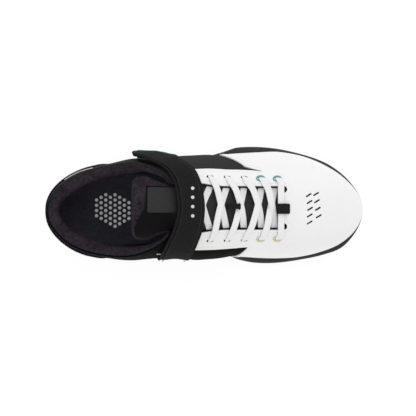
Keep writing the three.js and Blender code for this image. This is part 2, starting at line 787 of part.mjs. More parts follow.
// One run of lace over the throat, in the plan from start to end with a bend towards the toe, and
// with its heights over the upper.
function laceRun(start, end, bend, heights) {
  const length = Math.hypot(end[0] - start[0], end[1] - start[1]);
  const acrossX = (-(end[1] - start[1]) / length) * (laceWidth / 2);
  const acrossY = ((end[0] - start[0]) / length) * (laceWidth / 2);
  const count = 5;
  return loft(
    range(count + 1).map((i) => {
      const t = i / count;
      const x = mix(start[0], end[0], t) + bend * 4 * t * (1 - t);
      const y = mix(start[1], end[1], t);
      const low = heights(t);
      const edge = (side, grow) => {
        const [atX, atY] = [x + side * acrossX, y + side * acrossY];
        return [atX, atY, domeZ(atX, atY, grow)];
      };
      return [edge(1, low), edge(-1, low), edge(-1, low + laceThick), edge(1, low + laceThick)];
    }),
  );
}

const overStay = gap + overlayThick + slack;
const overTongue = -upperWall;

function makeLaceBar() {
  const reach = eyeletY(0) - laceBarLead;
  const x = eyeletX(0) + laceBarLead;
  return laceRun([x, -reach], [x, reach], 0, () => overStay);
}

// Two runs that cross: each comes from under one eyestay and passes over the other to its eyelet.
function makeLaceCross(i) {
  const run = (side) => {
    const start = [eyeletX(i) + eyeletPitch * laceLeads[i], side * (throatWidth / 2 - laceExit)];
    const end = [eyeletX(i + 1) + eyeletPitch * laceEnd, -side * (eyeletY(i + 1) - laceStop)];
    return laceRun(start, end, laceBend, (t) => mix(overTongue, overStay + gap, smooth((t - 0.1) / 0.6)));
  };
  return run(1).add(run(-1));
}

// A webbing tab along the shoe: rows are places along it and its heights over the upper.
function webbingTab(front, length, width, spineY, rows) {
  return loft(
    rows.map(({ along, off }) => {
      const x = front - length * along;
      const edge = (side, grow) => {
        const y = spineY + (side * width) / 2;
        return [x, y, domeZ(x, spineY, grow)];
      };
      return [edge(1, off), edge(-1, off), edge(-1, off + webbingThick), edge(1, off + webbingThick)];
    }),
  );
}

function makeFrontKeeper() {
  const overBar = overStay + laceThick + slack;
  return webbingTab(throatFront + frontKeeperLead, frontKeeperLength, frontKeeperWidth, frontKeeperY, [
    { along: 0, off: overStay },
    { along: 0.18, off: overStay },
    { along: 0.38, off: overBar },
    { along: 1, off: overBar },
  ]);
}

function makeTongueKeeper() {
  const over = overStay + laceThick + slack;
  return webbingTab(eyeletX(2) - tongueKeeperLag, tongueKeeperLength, tongueKeeperWidth, tongueKeeperY, [
    { along: 0, off: over },
    { along: 0.6, off: over },
    { along: 0.95, off: overTongue + 0.9 },
    { along: 1, off: overTongue + 0.6 },
  ]);
}

// The whole shoe
const finishes = {
  rubber: { color: 0x1c1c1d, roughness: 0.75 },
  foam: { color: 0x2a2a2b, roughness: 0.8 },
  mesh: { color: 0x1a1a1c, roughness: 0.9 },
  lightSkin: { color: 0xf2f2f2, roughness: 0.45 },
  cream: { color: 0xe9e8e0, roughness: 0.5 },
  lining: { color: 0x221d22, roughness: 0.95 },
  webbing: { color: 0x161617, roughness: 0.85 },
  lace: { color: 0xf7f7f7, roughness: 0.8 },
  teal: { color: 0x4f9a92, roughness: 0.7 },
};

const shoe = new THREE.Group();

function addPiece(name, solid, finish) {
  const { vertProperties, triVerts } = solid.getMesh();
  const geometry = new THREE.BufferGeometry();
  geometry.setAttribute("position", new THREE.BufferAttribute(vertProperties, 3));
  geometry.setIndex(new THREE.BufferAttribute(triVerts, 1));
  const material = new THREE.MeshStandardMaterial({ metalness: 0, flatShading: true, ...finishes[finish] });
  const mesh = new THREE.Mesh(geometry, material);
  mesh.name = name;
  shoe.add(mesh);
}

const openings = aboveTopline().add(throat(0)).add(eyeletHoles());
const overlayOpenings = aboveTopline().add(throat(0.8)).add(eyeletHoles());

addPiece("outsole", makeOutsole(), "rubber");
addPiece("midsole", makeMidsole(), "foam");
addPiece("upper", makeUpper(openings), "mesh");
addPiece("vamp_overlay", makeVampOverlay(overlayOpenings, bumperBlock(gap)), "lightSkin");
addPiece("toe_bumper", makeBumper(), "cream");
addPiece("heel_counter", makeCounter(openings), "rubber");
addPiece("insole", makeInsole(), "lining");
addPiece("tongue", tongueBody(0), "mesh");
addPiece("collar_pad", makeCollarPad(tongueBody(gap)), "lining");
addPiece("strap", band(strapRows, 22, overLaces, strapThick), "webbing");
addPiece("strap_base", band(strapBaseRows, 8, slack, strapBaseThick), "webbing");
addPiece("hook_tape", band(strapBaseRows, 8, slack + strapBaseThick + gap, hookTapeThick), "teal");
addPiece("lace_bar", makeLaceBar(), "lace");
for (const i of range(eyeletPairs - 1)) addPiece(`lace_cross_${i + 1}`, makeLaceCross(i), "lace");
addPiece("front_keeper", makeFrontKeeper(), "webbing");
addPiece("tongue_keeper", makeTongueKeeper(), "webbing");

// The origin lies under the middle of the shoe, on the floor.
const box = new THREE.Box3().setFromObject(shoe);
const middle = box.getCenter(new THREE.Vector3());
shoe.position.set(-middle.x, -middle.y, -box.min.z);

export default shoe;
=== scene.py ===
# %% [markdown]
# # A left mountain bike shoe
#
# The shoe is a low one for riding: a lugged rubber sole, dark textile sides, a smooth light skin
# over the toe and along the laces, a padded collar and tongue, and a strap that closes over the
# lacing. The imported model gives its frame, in metres, and every piece here sits in that frame.
#
# Shoes are made over a last, a solid foot shape. This lesson works the same way: one function
# describes the last, panels are cut flat and laid on it, and the rest is built on those.

import bmesh
import bpy
import numpy as np
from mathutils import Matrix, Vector
from mathutils.geometry import delaunay_2d_cdt
from mathutils.kdtree import KDTree


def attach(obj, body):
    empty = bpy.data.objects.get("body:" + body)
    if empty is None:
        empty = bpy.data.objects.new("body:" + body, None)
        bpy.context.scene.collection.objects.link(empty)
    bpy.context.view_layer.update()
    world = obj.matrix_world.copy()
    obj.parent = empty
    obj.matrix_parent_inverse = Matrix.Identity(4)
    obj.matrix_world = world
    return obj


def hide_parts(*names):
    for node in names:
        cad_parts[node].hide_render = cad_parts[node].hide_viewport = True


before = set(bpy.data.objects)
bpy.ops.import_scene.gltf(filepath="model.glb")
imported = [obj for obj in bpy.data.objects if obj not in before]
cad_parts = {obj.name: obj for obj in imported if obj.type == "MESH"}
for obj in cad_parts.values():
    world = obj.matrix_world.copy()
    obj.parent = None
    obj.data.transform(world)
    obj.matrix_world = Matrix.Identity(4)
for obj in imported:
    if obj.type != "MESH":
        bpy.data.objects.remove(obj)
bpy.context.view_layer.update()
print("nodes in the frame:", len(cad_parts))

# %% [markdown]
# The drawing works in millimetres from the back of the heel, with +X to the toe, +Y to the outer
# side and +Z up. The frame has its origin under the middle of the shoe and is in metres, so one
# small function carries points across. The camera is made first, because everything is judged
# through it: it hangs a metre and a half over the shoe and looks straight down, as for the photo.

# %% From drawing to frame, and the camera
frame_shift = np.array([149.5, 2.88, 0.0])


def to_frame(points):
    """Millimetres from the heel as metres in the frame."""
    return (np.asarray(points, float) - frame_shift) / 1000


camera_height = 1.5
camera_over = 152.3
camera = bpy.data.objects.new("camera", bpy.data.cameras.new("camera"))
bpy.context.scene.collection.objects.link(camera)
camera.data.lens = 134.2
camera.data.clip_start = 0.01
camera.location = (*to_frame([camera_over, 0, 0])[:2], camera_height)
bpy.context.scene.camera = camera
print("camera over", [round(c, 4) for c in camera.location])

# %% [markdown]
# ## The last
#
# A last has no straight lines: its width, height and roundness change from heel to toe. A table
# of sections holds them as shares of the named sizes, and a curve that never overshoots its rows
# reads between them. The same tables drew the solids, so the visible skin follows them closely.

# %% Reading a table of sections
sole_length = 299.0
ball_width = 110.0
heel_width = 80.0
upper_ball_width = 101.5
upper_heel_width = 84.0
instep_height = 97.0
toe_height = 63.0
collar_height = 82.0
heel_inset = 2.0
toe_inset = 3.3
gap = 0.3


def smooth_column(keys, values):
    """A function through a table's column that never overshoots its rows."""
    rise = np.diff(values) / np.diff(keys)
    before = np.concatenate([rise[:1], rise])
    after = np.concatenate([rise, rise[-1:]])
    same = before * after > 0
    slopes = np.where(same, 2 * before * after / np.where(same, before + after, 1), 0)

    def read(at):
        at = np.clip(at, keys[0], keys[-1])
        row = np.clip(np.searchsorted(keys, at, side="right") - 1, 0, len(keys) - 2)
        width = keys[row + 1] - keys[row]
        t = (at - keys[row]) / width
        return (
            values[row] * (1 + 2 * t) * (1 - t) ** 2
            + slopes[row] * width * t * (1 - t) ** 2
            + values[row + 1] * t * t * (3 - 2 * t)
            - slopes[row + 1] * width * t * t * (1 - t)
        )

    return read


def smooth_table(names, rows):
    rows = np.array(rows, float)
    return {name: smooth_column(rows[:, 0], rows[:, k + 1]) for k, name in enumerate(names)}


sole = smooth_table(
    ["outer", "inner", "spine"],
    [
        (0.0, 0.45, 0.425, -0.0227),
        (0.07, 0.481, 0.4625, -0.0227),
        (0.2, 0.512, 0.494, -0.0227),
        (0.33, 0.499, 0.48, -0.008),
        (0.43, 0.445, 0.392, 0),
        (0.5, 0.454, 0.37, 0),
        (0.55, 0.482, 0.391, 0),
        (0.61, 0.53, 0.452, 0),
        (0.66, 0.534, 0.478, 0),
        (0.72, 0.531, 0.489, 0),
        (0.8, 0.519, 0.494, 0),
        (0.88, 0.512, 0.516, -0.001),
        (0.94, 0.483, 0.55, -0.003),
        (1.0, 0.4, 0.5, -0.009),
    ],
)
upper = smooth_table(
    ["outer", "inner", "ridge", "bulge", "power"],
    [
        (0.0, 0.36, 0.37, 1.227, 0.23, 2.4),
        (0.1, 0.443, 0.462, 1.26, 0.23, 2.3),
        (0.19, 0.518, 0.527, 1.278, 0.23, 2.15),
        (0.28, 0.572, 0.563, 1.28, 0.24, 2.05),
        (0.37, 0.535, 0.533, 1.206, 0.25, 2),
        (0.42, 0.529, 0.504, 1.14, 0.26, 2),
        (0.46, 0.514, 0.505, 1.072, 0.26, 2),
        (0.51, 0.501, 0.483, 0.985, 0.26, 2),
        (0.56, 0.486, 0.463, 0.935, 0.26, 2),
        (0.61, 0.495, 0.44, 0.916, 0.25, 2.05),
        (0.67, 0.506, 0.452, 0.922, 0.23, 2.1),
        (0.743, 0.523, 0.468, 0.967, 0.21, 2.2),
        (0.8, 0.52, 0.48, 0.997, 0.21, 2.3),
        (0.865, 0.501, 0.485, 0.985, 0.26, 2.4),
        (0.92, 0.472, 0.49, 0.938, 0.32, 2.5),
        (0.96, 0.437, 0.48, 0.875, 0.4, 2.6),
        (1.0, 0.4, 0.465, 0.77, 0.5, 2.6),
    ],
)
topline = smooth_table(
    ["outer", "inner"],
    [
        (-0.05, 1.01, 1.01),
        (0.0, 1.0, 1.0),
        (0.1, 0.93, 0.965),
        (0.19, 0.87, 0.94),
        (0.28, 0.96, 1.03),
        (0.34, 1.08, 1.13),
        (0.385, 1.22, 1.25),
        (0.43, 1.42, 1.44),
        (0.47, 1.7, 1.7),
    ],
)
print("ball width of the sole:", round(float(sole["outer"](0.66) + sole["inner"](0.66)) * ball_width, 1))

# %% [markdown]
# A place on the upper is given by two shares. at runs from the heel, 0, to the toe, 1. lift is 0
# on the middle line on top, 1 at the widest line of the outer side, 1.5 at the sole's rim, and
# negative on the inner side. grow moves the place straight out of the skin, so that a layer sewn
# over another one is the same function with a larger grow.

# %% The last as a function
def mix(a, b, t):
    return a + (b - a) * t


def ease(t):
    t = np.clip(t, 0, 1)
    return t * t * (3 - 2 * t)


def round_ends(at, heel_share, heel_power, toe_share, toe_power):
    heel = np.clip(1 - at / heel_share, 0, 1)
    toe = np.clip(1 - (1 - at) / toe_share, 0, 1)
    return (1 - heel**heel_power) ** (1 / heel_power) * (1 - toe**toe_power) ** (1 / toe_power)


def spine_at(at):
    return sole["spine"](at) * ball_width


def side_share(table, at, side):
    return np.where(side > 0, table["outer"](at), table["inner"](at))


def sole_edge(at, side, grow):
    """x and half width of the sole's outline on one side."""
    width = mix(heel_width, ball_width, ease((at - 0.3) / 0.25))
    half = (side_share(sole, at, side) * width + grow) * round_ends(at, 0.16, 2.2, 0.367, 2.2)
    return mix(-grow, sole_length + grow, at), half


def upper_edge(at, side, grow):
    """x and half width of the upper's widest line on one side."""
    width = mix(upper_heel_width, upper_ball_width, ease((at - 0.3) / 0.25))
    half = (side_share(upper, at, side) * width + grow) * round_ends(at, 0.15, 2.3, 0.36, 2.25)
    return mix(heel_inset - grow, sole_length - toe_inset + grow, at), half


def toe_rise(at):
    return 11 * np.clip((at - 0.72) / 0.28, 0, 1) ** 2


def tread_z(x):
    at = x / sole_length
    heel = 5 * np.clip((0.11 - at) / 0.11, 0, 1) ** 2
    arch = 2.5 * np.sin(np.pi * np.clip((at - 0.31) / 0.24, 0, 1)) ** 2
    return toe_rise(at) + heel + arch


def footbed_z(x):
    at = x / sole_length
    return toe_rise(at) + mix(24, 15.5, ease((at - 0.25) / 0.35))


def rim_z(x):
    return footbed_z(x) + 8


def foot_edge(at, side, grow):
    """x and half width of the upper's lower edge, inside the sole's rim."""
    inset = 3 + gap
    in_sole = sole_edge(at, side, -inset)[1]
    in_upper = upper_edge(at, side, -heel_inset)[1]
    half = np.minimum(in_sole, in_upper) + grow * np.minimum(1, in_sole / 3)
    return mix(inset - grow, sole_length - inset + grow, at), np.maximum(0, half)


def ridge_z(at):
    return upper["ridge"](at) * mix(instep_height, toe_height, ease((at - 0.5) / 0.35))


def widest_z(at):
    return mix(footbed_z(at * sole_length), ridge_z(at), upper["bulge"](at))


def lean(at, z):
    up = np.clip((z - widest_z(at)) / (collar_height - widest_z(0.0)), 0, 1)
    return 3 * up**1.5 * (1 - ease(at / 0.2))


def on_last(at, lift, grow=0.0):
    """Points of the upper, in millimetres. All three may be arrays."""
    at, lift, grow = np.broadcast_arrays(*(np.asarray(v, float) for v in (at, lift, grow)))
    side = np.where(lift < 0, -1, 1)
    up = np.abs(lift)
    wide_x, half = upper_edge(at, side, grow)
    z_wide = widest_z(at)
    angle = (1 - np.minimum(up, 1)) * np.pi / 2
    power = upper["power"](at)
    out = np.cos(angle) ** (2 / power)
    high = np.sin(angle) ** (2 / power)
    z_dome = mix(z_wide, ridge_z(at) + grow, high)
    foot_x, foot_half = foot_edge(at, side, grow)
    down = np.clip(2 * (up - 1), 0, 1)
    turn = 1 - np.cos(down * np.pi / 2)
    z_flank = mix(z_wide, rim_z(foot_x) + gap, down)
    z_flank = mix(z_flank, footbed_z(foot_x) + gap, np.clip(2 * up - 3, 0, 1))
    z = np.where(up > 1, z_flank, z_dome)
    x = np.where(up > 1, mix(wide_x, foot_x, turn), wide_x + lean(at, z))
    y = np.where(up > 1, mix(half, foot_half, turn), half * out)
    return np.stack([x, spine_at(at) + side * y, z], axis=-1)


def last_from_plan(x, y):
    """at and lift of the spot on top of the upper that lies over a spot of the plan."""
    at = (np.asarray(x, float) - heel_inset) / (sole_length - toe_inset - heel_inset)
    side = np.where(y < spine_at(at), -1, 1)
    out = np.clip(np.abs(y - spine_at(at)) / upper_edge(at, side, 0.0)[1], 0, 1)
    return at, side * (1 - np.arccos(out ** (upper["power"](at) / 2)) / (np.pi / 2))


def lift_at_height(at, side, z):
    """lift of one side of the upper at a height."""
    z_wide = widest_z(at)
    power = upper["power"](at)
    high = np.clip((z - z_wide) / (ridge_z(at) - z_wide), 0, 1)
    above = 1 - np.arcsin(high ** (power / 2)) / (np.pi / 2)
    rim = rim_z(at * sole_length) + gap
    below = 1 + 0.5 * np.clip((z_wide - z) / (z_wide - rim), 0, 1)
    return side * np.where(z > z_wide, above, below)


def dome_z(x, y, grow=0.0):
    """Height of the upper over a spot of the plan."""
    at = (x - heel_inset + grow) / (sole_length - toe_inset - heel_inset + 2 * grow)
    side = np.where(y < spine_at(at), -1, 1)
    power = upper["power"](at)
    out = np.clip(np.abs(y - spine_at(at)) / upper_edge(at, side, grow)[1], 0, 1)
    return mix(widest_z(at), ridge_z(at) + grow, (1 - out**power) ** (1 / power))


def collar_z(at, y):
    """Height of the collar's edge: the side profiles differ and a ruled cut joins them."""
    share = (y + ball_width) / (2 * ball_width)
    return mix(topline["inner"](at), topline["outer"](at), share) * collar_height


print("instep height:", round(float(ridge_z(0.5)), 1), "toe height:", round(float(ridge_z(0.87)), 1))

# %% [markdown]
# ## Shader maths
#
# Every finish on this shoe changes a little over its surface: grain, weave, dust and wear. In
# Blender that is a web of nodes. Here one small class wraps a node's socket, so that the web
# reads as a formula: adding two values adds the Math node that does it.

# %% Sockets as values
class Value:
    """A socket in a node tree, with Python's operators."""

    def __init__(self, tree, socket):
        self.tree = tree
        self.socket = socket

    def node(self, kind, settings=None, **sockets):
        """Adds a node; settings go first, then the values or links of its sockets."""
        made = self.tree.nodes.new(kind)
        for name, setting in (settings or {}).items():
            if name == "stops":
                set_stops(made.color_ramp, setting)
            else:
                setattr(made, name, setting)
        for name, given in sockets.items():
            key = int(name[1:]) if name[0] == "i" and name[1:].isdigit() else name.replace("_", " ")
            feed(self.tree, made.inputs[key], given)
        return made

    def out(self, made, name=0):
        return Value(self.tree, made.outputs[name])

    def math(self, operation, *values):
        made = self.node("ShaderNodeMath", {"operation": operation})
        for socket, given in zip(made.inputs, values):
            feed(self.tree, socket, given)
        return self.out(made)

    def __add__(self, other):
        return self.math("ADD", self, other)

    def __sub__(self, other):
        return self.math("SUBTRACT", self, other)

    def __mul__(self, other):
        return self.math("MULTIPLY", self, other)

    def sine(self):
        return self.math("SINE", self)

    def size(self):
        return self.math("ABSOLUTE", self)

    def limit(self):
        return self.math("MINIMUM", self.math("MAXIMUM", self, 0.0), 1.0)

    def band(self, low, high):
        """0 below low, 1 above high and smooth between them."""
        made = self.node("ShaderNodeMapRange", {"interpolation_type": "SMOOTHSTEP"})
        for name, given in (("Value", self), ("From Min", low), ("From Max", high)):
            feed(self.tree, made.inputs[name], given)
        return self.out(made)

    def blend(self, first, second):
        """Two colours mixed by this value."""
        made = self.node("ShaderNodeMix", {"data_type": "RGBA"})
        feed(self.tree, made.inputs["Factor"], self)
        feed(self.tree, made.inputs[6], first)
        feed(self.tree, made.inputs[7], second)
        return self.out(made, 2)


def feed(tree, socket, given):
    """Puts a number, a colour or a linked value into a socket."""
    if isinstance(given, Value):
        tree.links.new(given.socket, socket)
    elif isinstance(given, (tuple, list)) and len(given) == 3 and socket.type == "RGBA":
        socket.default_value = (*given, 1)
    else:
        socket.default_value = given


def set_stops(ramp, stops):
    while len(ramp.elements) > 1:
        ramp.elements.remove(ramp.elements[-1])
    ramp.elements[0].position, ramp.elements[0].color = stops[0][0], (*stops[0][1], 1)
    for position, color in stops[1:]:
        ramp.elements.new(position).color = (*color, 1)


class Finish:
    """A material with its shader and its place coordinates, in millimetres."""

    def __init__(self, name, color, roughness, gloss=0.5, **fixed):
        self.material = bpy.data.materials.new(name)
        self.material.use_nodes = True
        self.tree = self.material.node_tree
        self.shader = next(n for n in self.tree.nodes if n.type == "BSDF_PRINCIPLED")
        place = self.tree.nodes.new("ShaderNodeTexCoord")
        parts = self.tree.nodes.new("ShaderNodeSeparateXYZ")
        self.place = Value(self.tree, place.outputs["Object"])
        self.tree.links.new(place.outputs["Object"], parts.inputs[0])
        self.x, self.y, self.z = (Value(self.tree, socket) * 1000.0 for socket in parts.outputs)
        self.set("Base Color", color)
        self.set("Roughness", roughness)
        self.set("Specular IOR Level", gloss)
        for socket, number in fixed.items():
            self.set(socket.replace("_", " "), number)
        self.material.diffuse_color = (*color, 1) if isinstance(color, tuple) else (0.5, 0.5, 0.5, 1)

    def set(self, socket, given):
        feed(self.tree, self.shader.inputs[socket], given)

    def noise(self, size, detail=3.0, rough=0.5):
        """Cloudy values from 0 to 1, with features of a size in millimetres."""
        made = self.place.node("ShaderNodeTexNoise", Vector=self.place, Scale=1000 / size)
        made.inputs["Detail"].default_value = detail
        made.inputs["Roughness"].default_value = rough
        return Value(self.tree, made.outputs[0])

    def cells(self, size):
        """Distance to the middle of the nearest cell of a size in millimetres."""
        made = self.place.node("ShaderNodeTexVoronoi", Vector=self.place, Scale=1000 / size)
        return Value(self.tree, made.outputs["Distance"])

    def bump(self, height, depth, strength=1.0, over=None):
        """Relief of a depth in millimetres from a height of 0 to 1."""
        made = self.place.node("ShaderNodeBump", Height=height, Distance=depth / 1000, Strength=strength)
        if over is not None:
            self.tree.links.new(over.socket, made.inputs["Normal"])
        return Value(self.tree, made.outputs[0])


print("shader tools ready")

# %% [markdown]
# ## Finishes
#
# The light skin is a smooth coated synthetic with a fine grain, painted darker and warmer towards its inner
# rear as shade.
# The sides are a close dark weave, which is made from crossing waves: one runs along the shoe,
# the other up and over it, which is z less the distance from the middle. The inner side is
# painted in a deeper tone, as shade.

# %% The light skin, the cream bumper and the dark counter
def skin_finish(name, light, warm_shade, roughness, gloss=0.4):
    """Coated skin: fine creases between small pores, a slow change of tone, and painted shade in the warm
    colour towards the inner rear.
    """
    finish = Finish(name, light, roughness, gloss)
    # Painted shade: the warm colour is laid towards the inner rear, the side turned from the light.
    rear = (finish.x * -1.0 - finish.y * 1.2).band(-20, 70)
    tone = finish.noise(38).band(0.35, 0.7)
    finish.set("Base Color", (tone * 0.25 + rear * 0.75).limit().blend(light, warm_shade))
    finish.set("Roughness", finish.noise(6) * 0.14 + (roughness - 0.07))
    pores = finish.cells(1.1)
    creases = finish.noise(9, 5.0, 0.62)
    finish.set("Normal", finish.bump(pores, 0.05, 0.35, over=finish.bump(creases, 0.25, 0.25)))
    return finish


light_skin = skin_finish("light_skin", (0.91, 0.91, 0.912), (0.85, 0.848, 0.835), 0.46)
cream_skin = skin_finish("cream_skin", (0.88, 0.878, 0.85), (0.84, 0.835, 0.79), 0.45)
dark_skin = skin_finish("dark_skin", (0.007, 0.007, 0.0075), (0.012, 0.0115, 0.0125), 0.75, 0.12)
print("skins:", light_skin.material.name, cream_skin.material.name, dark_skin.material.name)

# %% Dark weaves: the sides, the strap, the webbing and the laces
def weave_finish(name, dark, light, across, up, depth, roughness=0.85, deep=None, where=None):
    """Threads that pass over and under each other. The deep tone is painted shade; it lies where where()
    gives 0.
    """
    finish = Finish(name, dark, roughness, 0.06)
    over = finish.z - finish.y.size()
    warp = (finish.x * (2 * np.pi / across)).sine()
    weft = (over * (2 * np.pi / up)).sine()
    threads = (warp * weft) * 0.5 + 0.5
    fuzz = finish.noise(1.6, 4.0, 0.7)
    woven = (threads * 0.5 + fuzz.band(0.3, 0.7) * 0.5).blend(dark, light)
    finish.set("Base Color", where(finish).blend(deep, woven) if deep else woven)
    finish.set("Roughness", fuzz * 0.15 + (roughness - 0.08))
    finish.set("Normal", finish.bump(threads + fuzz * 0.3, depth, 0.6))
    return finish


side_weave_and_shade = weave_finish(
    "side_weave_and_shade",
    (0.02, 0.0192, 0.0196),
    (0.05, 0.048, 0.049),
    1.5,
    1.5,
    0.16,
    # The inner side gets the deep tone: painted shade of the side turned from the stronger lamp.
    deep=(0.003, 0.0028, 0.003),
    where=lambda finish: finish.y.band(-20, 35),
)
strap_weave = weave_finish("strap_weave", (0.007, 0.007, 0.0075), (0.021, 0.021, 0.022), 0.9, 0.9, 0.1)
tongue_weave_and_shade = weave_finish(
    "tongue_weave_and_shade",
    (0.022, 0.0217, 0.022),
    (0.05, 0.049, 0.05),
    1.2,
    1.2,
    0.12,
    # The tongue's rear part gets the deep tone: painted shade behind the strap.
    deep=(0.006, 0.0057, 0.0065),
    where=lambda finish: finish.x.band(-34, -14),
)
webbing_weave = weave_finish("webbing_weave", (0.01, 0.0098, 0.0102), (0.022, 0.0215, 0.0225), 1.0, 2.0, 0.2)
lace_weave = weave_finish("lace_weave", (0.84, 0.84, 0.84), (0.95, 0.95, 0.95), 1.2, 0.8, 0.16, 0.8)
tape_weave = weave_finish("tape_weave", (0.07, 0.23, 0.21), (0.13, 0.34, 0.315), 0.8, 0.8, 0.2)
print("weaves ready")

# %% The knit lining, the insole's cloth and the rubber
def lining_finish(name, dark, light, stitch):
    """A soft knit: rows of small loops with a slow change of tone."""
    finish = Finish(name, dark, 0.95, 0.06)
    over = finish.z - finish.y.size()
    rows = (over * (2 * np.pi / stitch)).sine()
    loops = (finish.x * (2 * np.pi / (stitch * 0.8)) + rows * 1.2).sine() * 0.5 + 0.5
    tone = finish.noise(11, 3.0, 0.6).band(0.3, 0.7)
    speckle = finish.noise(2.4, 3.0, 0.7).band(0.35, 0.65)
    finish.set("Base Color", (loops * 0.2 + tone * 0.35 + speckle * 0.45).blend(dark, light))
    finish.set("Normal", finish.bump(loops + finish.noise(3.5) * 1.2, 0.3, 0.5))
    return finish


def rubber_finish(name, dark, light, roughness):
    """Moulded rubber: a fine stipple, and a dull bloom that comes and goes."""
    finish = Finish(name, dark, roughness, 0.2)
    bloom = finish.noise(22, 4.0, 0.6).band(0.3, 0.75)
    finish.set("Base Color", bloom.blend(dark, light))
    finish.set("Roughness", finish.noise(4) * 0.16 + (roughness - 0.08))
    finish.set("Normal", finish.bump(finish.cells(0.8), 0.07, 0.5))
    return finish


# The shell's inside lining is a knit like the collar's, painted lighter for the light that reaches into the
# shoe.
lining_knit_lit = lining_finish("lining_knit_lit", (0.03, 0.028, 0.034), (0.062, 0.058, 0.069), 1.8)
collar_knit = lining_finish("collar_knit", (0.008, 0.0064, 0.0088), (0.046, 0.037, 0.046), 1.3)
insole_cloth = lining_finish("insole_cloth", (0.033, 0.031, 0.039), (0.062, 0.058, 0.07), 0.9)
sole_rubber = rubber_finish("sole_rubber", (0.024, 0.024, 0.025), (0.036, 0.036, 0.037), 0.62)
foam_rubber = rubber_finish("foam_rubber", (0.034, 0.034, 0.0345), (0.048, 0.048, 0.049), 0.7)
print("knits and rubbers ready")

# %% Small finishes: thread, rings, print and reflective trim
def plain_finish(name, dark, light, roughness, size, **fixed):
    """A small part's finish: two near tones and a fine unevenness."""
    finish = Finish(name, dark, roughness, **fixed)
    tone = finish.noise(size, 3.0)
    finish.set("Base Color", tone.blend(dark, light))
    finish.set("Roughness", tone * 0.12 + (roughness - 0.06))
    finish.set("Normal", finish.bump(finish.noise(size * 0.4), 0.06, 0.4))
    return finish


light_thread = plain_finish("light_thread", (0.74, 0.74, 0.72), (0.88, 0.88, 0.86), 0.7, 0.8)
dark_thread = plain_finish("dark_thread", (0.015, 0.0145, 0.015), (0.032, 0.031, 0.032), 0.65, 0.8)
teal_ring = plain_finish("teal_ring", (0.11, 0.28, 0.255), (0.16, 0.36, 0.33), 0.45, 2.0)
cream_ring = plain_finish("cream_ring", (0.6, 0.56, 0.42), (0.68, 0.64, 0.5), 0.45, 2.0)
white_print = plain_finish("white_print", (0.9, 0.9, 0.91), (0.96, 0.96, 0.97), 0.6, 1.5)
reflective = plain_finish("reflective", (0.62, 0.62, 0.63), (0.8, 0.8, 0.81), 0.3, 1.0, Metallic=0.35)
label_cloth = weave_finish("label_cloth", (0.027, 0.0275, 0.027), (0.042, 0.0425, 0.042), 0.7, 0.7, 0.06, 0.7)
print("finishes:", len(bpy.data.materials))

# %% [markdown]
# ## Making pieces
#
# A panel is cut flat and then laid on the last. Flat, its outline is filled with an even net of
# triangles by a constrained Delaunay cut, so that its edge stays exactly where it was drawn. The
# Solidify modifier gives it its thickness and a small Bevel rounds the cut edge, as on real skin.

# %% Meshes, joined pieces and what rides on the frame
def add_piece(name, points, faces, finish, slot, nodes=(), smooth=True, extra=()):
    """A mesh object in the frame, from millimetres, with its finishes; what it stands for, the slot, is not
    used.
    """
    mesh = bpy.data.meshes.new(name)
    mesh.from_pydata(to_frame(points).tolist(), [], [tuple(int(i) for i in f) for f in faces])
    mesh.validate()
    mesh.update()
    for each in (finish, *extra):
        mesh.materials.append(each.material)
    mesh.shade_smooth() if smooth else mesh.shade_flat()
    piece = bpy.data.objects.new(name, mesh)
    bpy.context.scene.collection.objects.link(piece)
    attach(piece, "root")
    if nodes:
        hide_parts(*nodes)
    return piece


def weld(piece, distance=0.02):
    """Joins points that fall together, dissolves what collapses and shades the piece smooth."""
    net = bmesh.new()
    net.from_mesh(piece.data)
    bmesh.ops.remove_doubles(net, verts=net.verts, dist=distance / 1000)
    bmesh.ops.dissolve_degenerate(net, edges=net.edges, dist=1e-7)
    net.to_mesh(piece.data)
    net.free()
    piece.data.shade_smooth()
    return piece


def face_out(piece):
    net = bmesh.new()
    net.from_mesh(piece.data)
    bmesh.ops.recalc_face_normals(net, faces=net.faces)
    net.to_mesh(piece.data)
    net.free()
    return piece


def thicken(piece, thick, edge=0.35, inner_finish=0):
    """Gives a panel its thickness, inward, and rounds its edges."""
    solid = piece.modifiers.new("thickness", "SOLIDIFY")
    solid.thickness = thick / 1000
    solid.offset = -1
    solid.material_offset = inner_finish
    if edge:
        bevel = piece.modifiers.new("edge", "BEVEL")
        bevel.width = edge / 1000
        bevel.segments = 2
        bevel.limit_method = "ANGLE"
        bevel.angle_limit = np.radians(52)
        bevel.harden_normals = False
    return piece


# %% Cutting cloth flat
flat_length = 463.0
flat_height = 75.0


def to_flat(at, lift):
    """The cutting table's coordinates, about a millimetre each, of places on the last."""
    along = np.arccos(np.clip(1 - 2 * np.asarray(at, float), -1, 1)) / np.pi
    return np.stack(np.broadcast_arrays(along * flat_length, np.asarray(lift, float) * flat_height), -1)


def from_flat(flat):
    return (1 - np.cos(np.pi * flat[:, 0] / flat_length)) / 2, flat[:, 1] / flat_height


def resample(line, pitch, closed=False):
    """A line with even steps of about the pitch that keeps its corners."""
    line = np.asarray(line, float)
    if closed:
        line = np.vstack([line, line[:1]])
    made = [line[:1]]
    for a, b in zip(line[:-1], line[1:]):
        steps = max(1, int(np.ceil(np.linalg.norm(b - a) / pitch)))
        made.append(a + (b - a) * (np.arange(1, steps + 1) / steps)[:, None])
    made = np.vstack(made)
    return made[:-1] if closed else made


def is_inside(spots, loops):
    """Even-odd test of spots against closed loops."""
    hits = np.zeros(len(spots), int)
    for loop in loops:
        a, b = loop, np.roll(loop, -1, axis=0)
        for (ax, ay), (bx, by) in zip(a, b):
            if ay == by:
                continue
            crosses = (spots[:, 1] > min(ay, by)) & (spots[:, 1] <= max(ay, by))
            hits += crosses & (spots[:, 0] < ax + (spots[:, 1] - ay) * (bx - ax) / (by - ay))
    return hits % 2 == 1


